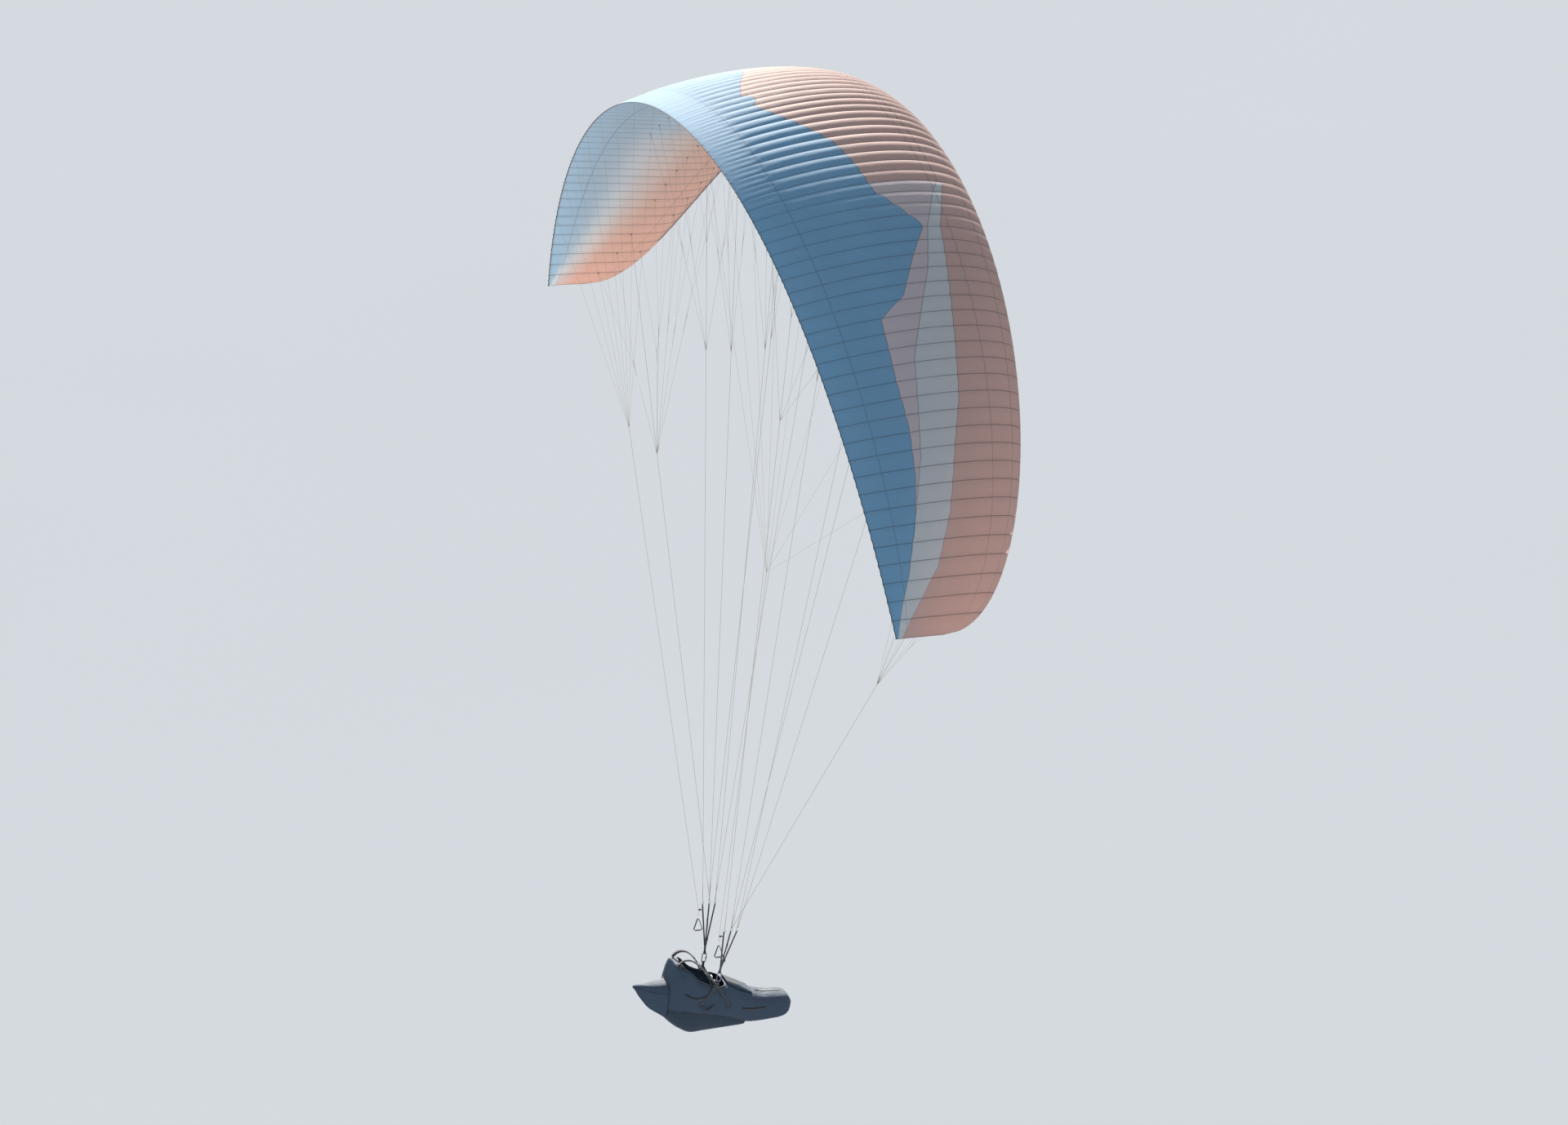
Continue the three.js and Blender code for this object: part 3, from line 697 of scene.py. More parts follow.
def line(soup, a, b, radius):
    soup.tube([a, (a + b) / 2, b], radius, 5)
    splice(soup, a, b, radius)
    splice(soup, b, a, radius)


def tab(soup, point, side, rib):
    """The sewn loop of tape that a line is tied to."""
    angle = side * rib / CELLS * HALF_FLAT_SPAN / ARC_RADIUS
    down = -np.array([0, math.sin(angle), math.cos(angle)])
    turn = around(12)
    loop = point + np.outer(np.sin(turn) * 0.007, (1, 0, 0)) + np.outer(0.007 - np.cos(turn) * 0.011, down)
    outline = [(-0.004, 0), (0, 0.0008), (0.004, 0), (0, -0.0008)]
    soup.swept(loop, np.cross(down, (1, 0, 0)), outline, closed=True)


def dress(node, look):
    """Gives a CAD node its look."""
    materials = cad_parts[node].data.materials
    materials.clear()
    materials.append(look)


def straight(name, look, a, b, count, radius, sides):
    piece = Soup()
    piece.tube(np.linspace(a, b, count), radius, sides)
    return piece.piece(name, look)


for name, side in SIDES:
    cascade, tabs = Soup(), Soup()
    for main, share, branches in FORKS:
        node = f"line_{name}_{main}"
        bottom, top = line_ends(node)
        fork = bottom + (top - bottom) * share
        splice(cascade, bottom, top, MAIN_RADIUS, 0.16)
        rib, row = LINE_TOP[main]
        tab(tabs, cloth_point(side, rib, row), side, rib)
        for targets, row in branches:
            ends = [cloth_point(side, rib, row) for rib in targets]
            knot = fork + (np.mean(ends, 0) - fork) * BRANCH_SHARE
            line(cascade, fork, knot, UPPER_RADIUS * 1.3)
            for rib, end in zip(targets, ends):
                line(cascade, knot, end, UPPER_RADIUS)
                tab(tabs, end, side, rib)
        dress(node, MAIN_SHEATH)
    cascade.piece(f"upper_lines_{name}", UPPER_SHEATH, "wing", "line_sheath")

    # Brake lines: from the pulley to a fork, and from there to the trailing edge
    foot, _ = line_ends(f"brake_line_{name}")
    fork = foot + (cloth_point(side, BRAKE_RIB, 1) - foot) * BRAKE_FORK
    reach = smooth_place(FORK_SHARE)
    main = straight(f"brake_main_{name}", BRAKE_SHEATH, foot, fork, 25, MAIN_RADIUS, 6)
    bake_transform(main)
    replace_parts(main, f"brake_line_{name}")
    for rib in BRAKE_RIBS:
        end = cloth_point(side, rib, 1)
        fan = straight(f"brake_fan_{name}_{rib}", BRAKE_SHEATH, fork, end, 15, UPPER_RADIUS, 5)
        run = (end - fork) / (smooth_place(drawn_share(end, side)) - reach)
        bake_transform(fan)
    tabs.piece(f"line_tabs_{name}", HEM, "wing")

    # The short line below the pulley, drawn straight through its CAD node's box; on the glider it pays out as
    # the handle goes down
    low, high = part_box(f"brake_lead_{name}")
    middle = (low + high) / 2
    ends = [(middle.x, middle.y, z) for z in (low.z - 0.004, high.z + 0.004)]
    lead = straight(f"brake_cord_{name}", BRAKE_SHEATH, *ends, 9, MAIN_RADIUS, 8)
    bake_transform(lead)
    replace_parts(lead, f"brake_lead_{name}")


# Harness, measured from the hang point before it is pitched nose down. Forms: x, top, bottom, half width

SQUARENESS = 3.6
POD = [
    (-0.450, -0.170, -0.450, 0.150), (-0.400, 0.040, -0.475, 0.190), (-0.300, 0.035, -0.490, 0.218),
    (-0.150, -0.070, -0.500, 0.228), (0.000, -0.120, -0.505, 0.228), (0.150, -0.165, -0.520, 0.226),
    (0.300, -0.226, -0.548, 0.208), (0.430, -0.262, -0.562, 0.192), (0.560, -0.284, -0.550, 0.178),
    (0.700, -0.280, -0.532, 0.162), (0.790, -0.288, -0.508, 0.142), (0.830, -0.318, -0.472, 0.112),
    (0.848, -0.350, -0.440, 0.074), (0.854, -0.385, -0.405, 0.030),
]
TAIL = [
    (-0.780, -0.222, -0.236, 0.006), (-0.770, -0.216, -0.244, 0.016), (-0.700, -0.206, -0.336, 0.052),
    (-0.610, -0.196, -0.430, 0.100), (-0.450, -0.170, -0.518, 0.150),
]
PROTECTOR = [  # its top follows the pod
    (-0.462, 0, -0.486, 0.110), (-0.450, 0, -0.514, 0.130), (-0.370, 0, -0.588, 0.174),
    (-0.280, 0, -0.644, 0.198), (-0.165, 0, -0.686, 0.210), (-0.060, 0, -0.668, 0.212),
    (0.090, 0, -0.640, 0.206), (0.240, 0, -0.612, 0.190), (0.360, 0, -0.587, 0.160),
    (0.382, 0, -0.575, 0.124), (0.390, 0, -0.546, 0.100),
]
MOUTH_X, MOUTH_LENGTH, MOUTH_WIDTH = -0.1085, 0.2365, 0.186  # middle, half length, half width
SHELL = 0.007
BACK_FOOT, BACK_TOP = (-0.205, -0.450), (-0.352, 0.005)  # front face of the back rest: x, z
SHOULDER_ROUTE = [
    (-0.372, 0.105, -0.030), (-0.372, 0.105, 0.044), (-0.322, 0.108, 0.092), (-0.240, 0.120, 0.086),
    (-0.155, 0.146, 0.022), (-0.092, 0.172, -0.054), (-0.054, 0.192, -0.124), (-0.038, 0.204, -0.200),
]
DECK = [(0.140, -0.290), (0.430, -0.330), (0.436, -0.252), (0.300, -0.184), (0.146, -0.128)]
DECK_HALF_WIDTH = 0.112


def pitched(points, angle=HARNESS_PITCH):
    """Points or directions of the level harness, turned nose down."""
    x, y, z = np.moveaxis(np.asarray(points, float), -1, 0)
    return xyz(x * math.cos(angle) + z * math.sin(angle), y, z * math.cos(angle) - x * math.sin(angle))


def placed(x, y, z):
    """Points of the level harness, where they really are."""
    return pitched(xyz(x, y, z)) + HANG


def level(points):
    """Back from where the harness is to the level one."""
    return pitched(points - HANG, -HARNESS_PITCH)


HARNESS_UP = pitched(UP)


def smooth_rows(table, fine=12):
    """A table's rows with smooth steps between them that don't overshoot."""
    rows = np.array(table, float)
    x, values = rows[:, 0], rows[:, 1:]
    slope = np.diff(values, axis=0) / np.diff(x)[:, None]
    agree = slope[:-1] * slope[1:] > 0
    inner = np.where(agree, 2 * slope[:-1] * slope[1:] / np.where(agree, slope[:-1] + slope[1:], 1), 0)
    tangent = np.vstack([slope[:1], inner, slope[-1:]])
    t = np.linspace(0, 1, fine, endpoint=False)[:, None]
    out = []
    for i, run in enumerate(np.diff(x)):
        value = ((2 * t**3 - 3 * t**2 + 1) * values[i] + (t**3 - 2 * t**2 + t) * run * tangent[i]
                 + (3 * t**2 - 2 * t**3) * values[i + 1] + (t**3 - t**2) * run * tangent[i + 1])
        out.append(np.hstack([x[i] + run * t, value]))
    return np.vstack(out + [rows[-1:]])


POD_ROWS, TAIL_ROWS, PROTECTOR_ROWS = smooth_rows(POD), smooth_rows(TAIL), smooth_rows(PROTECTOR)


def section(rows, x):
    """Middle height, half height and half width of a form at x."""
    top, bottom, half = (np.interp(x, rows[:, 0], rows[:, k]) for k in (1, 2, 3))
    return (top + bottom) / 2, (top - bottom) / 2, half


def rounded(angle, power):
    """How far a round-cornered square's outline is from its middle."""
    return (np.abs(np.sin(angle)) ** power + np.abs(np.cos(angle)) ** power) ** (-1 / power)


def hull_point(rows, x, angle, out=0.0):
    """A point on a form. The angle is 0 at the bottom, a quarter turn on the left and a half turn on top."""
    x, angle, out = np.broadcast_arrays(x, angle, out)
    middle, rise, half = section(rows, x)
    reach = rounded(angle, SQUARENESS)
    return placed(x, (half + out) * reach * np.sin(angle), middle - (rise + out) * reach * np.cos(angle))


def edge_share(value):
    return np.maximum(0, 1 - np.abs(value) ** SQUARENESS) ** (1 / SQUARENESS)


def top_point(x, y, out=0.0):
    """The point of the pod's top."""
    middle, rise, half = section(POD_ROWS, x)
    return placed(x, y, middle + rise * edge_share(y / half) + out)


def mouth_angle(x):
    """Where the mouth's rim is on the section; a half turn where the section is whole."""
    width = MOUTH_WIDTH * np.maximum(0, 1 - np.abs((x - MOUTH_X) / MOUTH_LENGTH) ** 4) ** 0.25
    flat = width / section(POD_ROWS, x)[2]
    return math.pi - np.arctan2(flat, edge_share(flat))


def creases(x, angle):
    """How far the shell's cloth stands out: it swells between its seams and wrinkles where it is pulled."""
    swell = 0.0022 * np.abs(np.sin(2.5 * angle))
    pull = 0
    for at, turn in ((0.15, 0.46), (-0.14, 0.46), (0.46, 0.86)):
        off = np.abs(angle) / math.pi - turn
        away = np.hypot(x - at, off * 0.6)
        pull = pull + 0.0026 * np.exp(-away / 0.09) * np.sin(11 * np.arctan2(off, (x - at) * 1.6))
    waves = 0.0010 * np.sin(31 * x + 3 * np.sin(2 * angle)) * np.sin(3 * angle) ** 2
    return swell + pull + waves - 0.0032


def pod_point(x, angle, out):
    """A point that stands out of the pod's creased cloth."""
    return hull_point(POD_ROWS, x, angle, creases(x, angle) + out)


def weld(made):
    mesh = bmesh.new()
    mesh.from_mesh(made.data)
    bmesh.ops.remove_doubles(mesh, verts=mesh.verts, dist=0.0002)
    mesh.to_mesh(made.data)
    mesh.free()
    made.data.shade_smooth()


def finish_piece(made, slot, *nodes):
    """Ties a piece to the harness, and hides the CAD nodes that it stands for."""
    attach(made, "harness")
    if nodes:
        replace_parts(made, *nodes)
    return made


# Pod shell: one sheet with a slit that opens into the mouth
slit = np.linspace(-math.pi / 2, math.pi / 2, 61)
mouth_x = MOUTH_X + MOUTH_LENGTH * signed_power(np.sin(slit), 0.5)
stations = np.unique(np.round(np.concatenate([POD_ROWS[:, 0], mouth_x]), 5))
turn = np.linspace(-1, 1, 97)[None, :] * mouth_angle(stations)[:, None]
faces = face_list(*turn.shape) + [[(len(stations) - 1) * turn.shape[1] + i for i in range(turn.shape[1] - 1)]]
shell = mesh_object("pod_cover", pod_point(stations[:, None], turn, 0), faces, POD_CLOTH)
weld(shell)
thick = shell.modifiers.new("thickness", "SOLIDIFY")
thick.thickness, thick.offset = SHELL, -1
finish_piece(shell, "pod_cloth", "pod_shell", "pod_nose")

turn = np.linspace(-math.pi, math.pi, 65)[None, :-1]
x = TAIL_ROWS[:, :1]
ridge = 0.0015 * np.sin(2.5 * turn) ** 2 + 0.0012 * np.sin(45 * x) * np.sin(2 * turn)
faces = face_list(len(x), turn.shape[1], closed=True) + [list(range(turn.shape[1]))[::-1]]
fairing = mesh_object("fairing_cover", hull_point(TAIL_ROWS, x, turn, ridge), faces, POD_CLOTH)
finish_piece(fairing, "pod_cloth", "rear_fairing")

# Protector: an air cushion under the pod, in three lengthwise chambers
x, bottom, wide = PROTECTOR_ROWS[:, 0], PROTECTOR_ROWS[:, 2], PROTECTOR_ROWS[:, 3]
middle, rise, half = section(POD_ROWS, x)
wide = np.minimum(wide, 0.97 * half)
seat_z = middle - rise * edge_share(wide / half) + 0.004
turn = np.linspace(-math.pi / 2, math.pi / 2, 61)[None, :]
chambers = 0.006 * np.abs(np.cos(3 * turn)) - 0.004
depth = (seat_z - bottom)[:, None]
reach = rounded(turn, 2.8)
points = placed(x[:, None], (wide[:, None] + chambers) * reach * np.sin(turn),
                seat_z[:, None] - (depth + chambers * np.minimum(1, depth / 0.06)) * reach * np.cos(turn))
protector = mesh_object("protector_cover", points, face_list(len(x), turn.shape[1]), PROTECTOR_CLOTH)
finish_piece(protector, "protector_cloth", "seat_protector")

# Seams, piping and stitches
trim, thread = Soup(), Soup()


def pod_seam(x, angle, shifts):
    """A piped seam on the pod, with a row of stitches on both sides."""
    trim.tube(pod_point(x, angle, 0.0004), 0.0017, 6)
    up = hull_point(POD_ROWS, x, angle, 0.01) - hull_point(POD_ROWS, x, angle)
    for dx, turn in shifts:
        thread.stitches(pod_point(x + dx, angle + turn, 0.0003), up)


rim = around(120)
rim_x = MOUTH_X + MOUTH_LENGTH * signed_power(np.cos(rim), 0.5)
trim.tube(top_point(rim_x, MOUTH_WIDTH * signed_power(np.sin(rim), 0.5), -0.002), 0.0055, 8, closed=True)
for angle in (-2.2, -0.95, 0.95, 2.2):
    pod_seam(np.linspace(-0.44, 0.842, 100), angle, ((0, -0.022), (0, 0.022)))
for at in (0.44, 0.72, 0.842):
    pod_seam(at, np.linspace(-math.pi, math.pi, 81), ((-0.006, 0), (0.006, 0)))
back_rim = hull_point(POD_ROWS, -0.449, np.linspace(-math.pi, math.pi, 81)[:-1], 0.0005)
trim.tube(back_rim, 0.0032, 8, closed=True)
for angle in (-2.1, -0.8, 0.8, 2.1):
    trim.tube(hull_point(TAIL_ROWS, np.linspace(-0.449, -0.775, 40), angle, 0.002), 0.0016, 6)
for side in (-1, 1):
    trim.tube(placed(x, side * wide, seat_z - 0.002), 0.0028, 6)

# Padded parts


def evaluated(made):
    """The mesh of an object with its modifiers, which are then taken off it."""
    graph = bpy.context.evaluated_depsgraph_get()
    graph.update()
    mesh = bpy.data.meshes.new_from_object(made.evaluated_get(graph))
    made.modifiers.clear()
    made.data = mesh
    mesh.shade_smooth()


def swollen(name, points, faces, look, cap, held, fill):
    """A closed form, blown up by a cloth simulation. held tells which of its level points are sewn down."""
    made = mesh_object(name, pitched(points) + HANG, faces, look)
    remesh = made.modifiers.new("remesh", "REMESH")
    remesh.mode, remesh.voxel_size = "VOXEL", PAD_MESH
    evaluated(made)
    start = corners(made)
    sewn = made.vertex_groups.new(name="sewn")
    sewn.add([int(i) for i in np.nonzero(held(*level(start).T))[0]], 1.0, "REPLACE")
    cloth = made.modifiers.new("cloth", "CLOTH")
    cloth.settings.vertex_group_mass = "sewn"
    cloth.settings.use_pressure = True
    cloth.settings.uniform_pressure_force = 4.0
    cloth.settings.effector_weights.gravity = 0
    for step in range(1, 21):
        bpy.context.scene.frame_set(step)
    evaluated(made)
    moved = corners(made) - start
    far = np.linalg.norm(moved, axis=1, keepdims=True)
    blown = start + moved * np.minimum(1, cap / np.maximum(far, 1e-9))
    made.data.vertices.foreach_set("co", blown.ravel())
    bpy.context.scene.frame_set(1)
    made.modifiers.new("finer", "SUBSURF").levels = 1
    evaluated(made)
    return made


def surface_of(made):
    return BVHTree.FromPolygons([v.co for v in made.data.vertices], [p.vertices for p in made.data.polygons])


def laid(tree, x, y, z, way, out=0.0005):
    """Level points moved along a direction until they lie on a surface."""
    down = Vector(pitched(way)).normalized()
    found = []
    for point in placed(x, y, z):
        hit = tree.ray_cast(Vector(point) - down * 0.1, down)[0]
        found.append((hit if hit else Vector(point)) - down * out)
    return np.array(found)


def prism(outline, half_width):
    """A closed form of an XZ outline between two values of y."""
    count = len(outline)
    points = [(x, y, z) for y in (-half_width, half_width) for x, z in outline]
    faces = [[i, (i + 1) % count, count + (i + 1) % count, count + i] for i in range(count)]
    return points, faces + [list(range(count))[::-1], list(range(count, 2 * count))]


def near(value, places, reach):
    return np.min([np.abs(value - place) for place in places], axis=0) < reach


def back_x(z):
    return BACK_FOOT[0] + (BACK_TOP[0] - BACK_FOOT[0]) * (z - BACK_FOOT[1]) / (BACK_TOP[1] - BACK_FOOT[1])


DOWN = (0, 0, -1)
PAD_MESH = 0.005
CHANNEL = 0.0028  # half width of a sewn channel

# Back pad, quilted along its sewn channels
BACK_CHANNELS = (-0.345, -0.245, -0.145, -0.065)
BACK_LOW, BACK_HIGH = -0.436, -0.012
BACK_NEAR, BACK_FAR = 0.005, 0.016  # its two faces, behind the back rest's front
outline = [(back_x(BACK_LOW) - BACK_NEAR, BACK_LOW), (back_x(BACK_LOW) - BACK_FAR, BACK_LOW),
           (back_x(BACK_HIGH) - BACK_FAR, BACK_HIGH), (back_x(BACK_HIGH) - BACK_NEAR, BACK_HIGH)]
back_pad = swollen("back_pad", *prism(outline, 0.168), PADDING, 0.007,
                   lambda x, y, z: near(z, BACK_CHANNELS, CHANNEL) | near(y, (0,), CHANNEL), 0.6)
finish_piece(back_pad, "padding_cloth", "back_rest")
tree = surface_of(back_pad)
forward = unit((0.952, 0, 0.304))
y = np.linspace(-0.158, 0.158, 60)
for z in BACK_CHANNELS:
    thread.stitches(laid(tree, back_x(z), y, z, -forward, 0.0003), pitched(forward))

# Seat pad on the board
SEAT_CHANNELS = (-0.06, 0.06)
SEAT_BACK, SEAT_FRONT, SEAT_LOW, SEAT_HIGH = -0.178, 0.172, -0.4575, -0.4485
outline = [(SEAT_BACK, SEAT_LOW), (SEAT_FRONT, SEAT_LOW), (SEAT_FRONT, SEAT_HIGH), (SEAT_BACK, SEAT_HIGH)]
seat_pad = swollen("seat_pad", *prism(outline, 0.160), PADDING, 0.006, lambda x, y, z: (z < SEAT_LOW + 0.003)
                   | near(x, SEAT_CHANNELS, CHANNEL) | near(y, (0,), CHANNEL), 0.5)
finish_piece(seat_pad, "padding_cloth")
tree = surface_of(seat_pad)
y = np.linspace(-0.15, 0.15, 60)
for x in SEAT_CHANNELS:
    thread.stitches(laid(tree, x, y, -0.45, DOWN, 0.0003), HARNESS_UP)

# Cockpit deck: a soft case on the pod's top, just ahead of the mouth
DECK_GAP = 0.0025  # between the pod and the case
deck_x = np.linspace(DECK[0][0] + 0.012, DECK[2][0] - 0.008, 12)
deck_top = np.interp(deck_x, *zip(DECK[4], DECK[3], DECK[2]))
across = np.sin(np.linspace(-math.pi / 2, math.pi / 2, 15)) * (DECK_HALF_WIDTH - 0.007)
base = level(top_point(deck_x[:, None], across[None, :], DECK_GAP))[..., 2]
dome = 1 - np.abs(across / DECK_HALF_WIDTH) ** 6
rise = np.maximum(deck_top[:, None] - 0.007 - base, 0.004) * dome[None, :]
grid = [xyz(deck_x[:, None], across[None, :], base + lift).reshape(-1, 3) for lift in (rise, 0)]
deck = swollen("deck_case", np.concatenate(grid), slab_faces(len(deck_x), len(across)), POD_CLOTH, 0.007,
               lambda x, y, z: z < level(top_point(x, y, DECK_GAP))[..., 2] + 0.004, 0.7)
finish_piece(deck, "deck_cloth", "cockpit_deck")
tree = surface_of(deck)
x = np.linspace(0.160, 0.415, 50)
for side in (-1, 1):
    trim.tube(laid(tree, x, side * 0.094, -0.2, DOWN, 0.0012), 0.0022, 6)
    thread.stitches(laid(tree, x, side * 0.086, -0.2, DOWN, 0.0002), HARNESS_UP)
tape = Soup()
x = np.linspace(0.17, 0.30, 24)
for middle in (-0.045, 0.045):
    rows = [laid(tree, x, middle + dy, -0.2, DOWN, 0.0016) for dy in np.linspace(-0.025, 0.025, 9)]
    strip = np.stack(rows, 1)
    tape.add([strip, strip - HARNESS_UP * 0.002], slab_faces(*strip.shape[:2]))
tape.piece("deck_hook_tape", HOOK_TAPE, "harness", "deck_cloth")


# Zips


def zip_line(path, up, teeth, tapes, slider_at):
    """A zip: two rows of teeth on a tape, and a slider with a pull."""
    up = unit(np.broadcast_to(np.asarray(up, float), path.shape))
    along = unit(np.gradient(path, axis=0))
    outline = [(-0.011, -0.0008), (0.011, -0.0008), (0.011, 0.0006), (-0.011, 0.0006)]
    tapes.swept(path, unit(np.cross(along, up)), outline)
    run = distances(path)
    at = np.arange(0.002, run[-1] - 0.002, 0.0032)
    point, normal, flow = sampled(at, run, path), unit(sampled(at, run, up)), unit(sampled(at, run, along))
    cross = unit(np.cross(flow, normal))
    for k, (p, n, f, c) in enumerate(zip(point, normal, flow, cross)):
        shift = c * (0.0012 if k % 2 else -0.0012)
        block = [p + shift + c * a * 0.0017 + f * b * 0.0010 + n * h for h in (0.0004, 0.0019) for a, b in
                 ((-1, -1), (1, -1), (1, 1), (-1, 1))]
        teeth.add(block, [(0, 3, 2, 1), (4, 5, 6, 7), (0, 1, 5, 4), (1, 2, 6, 5), (2, 3, 7, 6), (3, 0, 4, 7)])
    k = int(slider_at * (len(point) - 1))
    p, n, f, c = point[k], normal[k], flow[k], cross[k]
    body = [(-0.006, 0.0035), (0.000, 0.0048), (0.006, 0.0035), (0.006, 0.0012), (-0.006, 0.0012)]
    walls = [(i, 5 + i, 5 + (i + 1) % 5, (i + 1) % 5) for i in range(5)]
    teeth.add([p + f * a + n * h + c * w for w in (-0.0038, 0.0038) for a, h in body],
              [(0, 1, 2, 3, 4), (9, 8, 7, 6, 5)] + walls)
    pull = [(0.0050, 0.002, 0), (0.0052, 0.012, 0.001), (0.0044, 0.026, 0.003)]
    teeth.tube([p + n * a + f * b + c * w for a, b, w in pull], [0.0010, 0.0016, 0.0022], 6)


# Shoulder straps: padded over the shoulder, then bare webbing down to the shell


def smooth_path(points, steps=8):
    """Catmull-Rom through a few points."""
    p = np.array(points, float)
    p = np.vstack([2 * p[0] - p[1], p, 2 * p[-1] - p[-2]])
    t = np.linspace(0, 1, steps, endpoint=False)[:, None]
    out = []
    for i in range(1, len(p) - 2):
        a, b, c, d = p[i - 1:i + 3]
        bend = (2 * a - 5 * b + 4 * c - d) * t**2 + (3 * b - a - 3 * c + d) * t**3
        out.append(0.5 * (2 * b + (c - a) * t + bend))
    return np.vstack(out + [p[-2:-1]])


def lens(width, thickness, sides=16):
    turn = around(sides)
    return np.stack([width / 2 * signed_power(np.cos(turn), 0.55), thickness / 2 * np.sin(turn)], -1)


def buckle(soup, at, along, across, normal, width=0.030):
    """A ladder-lock: a frame with two bars."""
    half, deep = width / 2 + 0.004, 0.013
    loop = [at + along * a + across * c + normal * 0.0035 for a, c in
            ((-deep, -half), (deep, -half), (deep, half), (-deep, half))]
    frame_path = np.concatenate([np.linspace(p, q, 4)[:-1] for p, q in zip(loop, loop[1:] + loop[:1])])
    soup.tube(frame_path, 0.0022, 8, closed=True)
    for a in (-0.0035, 0.0045):
        soup.tube([at + along * a + across * c + normal * 0.0035 for c in (-half, half)], 0.0019, 8)


PADDED_SHARE = 0.66  # of the strap's length
for name, side in SIDES:
    route = pitched(smooth_path(SHOULDER_ROUTE) * (1, side, 1)) + HANG
    along = unit(np.gradient(route, axis=0))
    across = unit(np.cross(along, HARNESS_UP + pitched((0.4, 0, 0))))
    bend = unit(np.cross(across, along))
    bend *= np.sign((bend * HARNESS_UP).sum(-1).mean())
    split = int(len(route) * PADDED_SHARE)
    end = split + 1
    pad, edging, web, lock = Soup(), Soup(), Soup(), Soup()
    stations = [0, 3, split * 0.5, split - 4, split - 1]
    widths = np.interp(np.arange(split), stations, [0.030, 0.044, 0.052, 0.046, 0.028])
    quilt = 0.0105 - 0.0022 * np.abs(np.cos(np.arange(split) / split * math.pi * 5)) ** 12
    pad.swept(route[:split], across[:split], np.stack([lens(w, t) for w, t in zip(widths, quilt)]))
    for way in (-1, 1):
        edging.tube(route[:split] + across[:split] * (way * widths / 2)[:, None], 0.0022, 6)
    over = route[:split] + bend[:split] * (quilt / 2 + 0.0012)[:, None]
    web.strap(over, across[:split], 0.024, 0.0018)
    for way in (-1, 1):
        thread.stitches(over + across[:split] * way * 0.010 + bend[:split] * 0.0010, bend[:split])
    web.strap(route[split - 2:], across[split - 2:], 0.025, 0.0026)
    buckle(lock, route[end], along[end], across[end], bend[end])
    run = np.linspace(0, 0.14, 14)[:, None]
    free = route[end] + along[end] * run * 0.9 + bend[end] * (0.005 + 0.012 * np.sin(run * 20))
    web.strap(free, across[end], 0.025, 0.0020)
    strap = finish_piece(pad.piece(f"shoulder_pad_{name}", PADDING), "harness_webbing")
    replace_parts(strap, f"shoulder_strap_{name}")
    edging.piece(f"shoulder_edging_{name}", PIPING, "harness", "harness_webbing")
    web.piece(f"shoulder_webbing_{name}", WEBBING, "harness", "harness_webbing")
    lock.piece(f"shoulder_lock_{name}", PLASTIC, "harness", "buckle_steel")

# Chest strap: webbing between the hang straps, folded back at the buckle
CHEST_X, CHEST_Z, CHEST_HALF = 0.0075, -0.1375, 0.2275
ribbon, bars = Soup(), Soup()
y = np.linspace(-CHEST_HALF, CHEST_HALF, 41)
ribbon.strap(placed(CHEST_X, y, CHEST_Z + 0.0015 * np.sin(np.abs(y) * 31)), HARNESS_UP, 0.025, 0.0026)
for side in (-1, 1):
    y = side * np.linspace(0.030, 0.125, 12)
    x = CHEST_X - 0.0032 - 0.0015 * np.sin(np.abs(y) * 40)
    ribbon.strap(placed(x, y, CHEST_Z), HARNESS_UP, 0.025, 0.0022)
    at = placed(CHEST_X, side * 0.115, CHEST_Z)
    buckle(bars, at, np.array([0.0, side, 0.0]), HARNESS_UP, pitched((1, 0, 0)), 0.027)
    for rise in (-0.010, 0.010):
        y = side * np.linspace(0.130, 0.222, 20)
        thread.stitches(placed(CHEST_X + 0.0015, y, CHEST_Z + rise), pitched((1, 0, 0)))
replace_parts(ribbon.piece("chest_webbing", WEBBING, "harness", "harness_webbing"), "chest_strap")
bars.piece("chest_adjusters", STEEL, "harness", "buckle_steel")

# Karabiner gates and maillon nuts
WIRE = 0.0055
MAILLON_WIRE = 0.0025


def ring_side(node, wire):
    """Middle of the long side of a ring node that faces forward, and its axes: along it and through it."""
    points = corners(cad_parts[node])
    middle = points.mean(0)
    thin, wide, long = np.linalg.eigh(np.cov((points - middle).T))[1].T
    long = long if long[2] > 0 else -long
    wide = wide if wide[0] > 0 else -wide
    return middle + wide * (((points - middle) @ wide).max() - wire), long, thin


def ribbed_sleeve(soup, at, along, length, radius, grooves=7, sides=16):
    run = np.linspace(-0.5, 0.5, grooves * 6 + 1)
    profile = radius - 0.0004 * (np.cos(run * grooves * 2 * math.pi) > 0)
    profile[[0, -1]] = radius * 0.8
    soup.tube(at + along * (run * length)[:, None], profile, sides)


def bar(soup, middle, way, half, radius, sides):
    soup.tube([middle - way * half, middle + way * half], radius, sides)


gates, nuts = Soup(), Soup()
for name, _ in SIDES:
    at, long, thin = ring_side(f"karabiner_{name}", WIRE)
    ribbed_sleeve(gates, at, long, 0.026, WIRE + 0.0022)
    for end in (-1, 1):
        bar(gates, at + long * end * 0.024, thin, WIRE + 0.0012, 0.0022, 12)
    for strap in "abc":
        at, long, thin = ring_side(f"maillon_{name}_{strap}", MAILLON_WIRE)
        bar(nuts, at, long, 0.006, 0.0042, 6)
        bar(nuts, at, long, 0.0078, 0.0034, 12)
gates.piece("karabiner_gates", ALLOY, "harness")
nuts.piece("maillon_nuts", STEEL, "wing")


# Pod fittings, laid on the cover's real surface
pod_tree = surface_of(shell)
patches = Soup()


def on_side(x, z, side, out=0.0005):
    return laid(pod_tree, x, side * 0.24, z, (0, -side, 0), out)


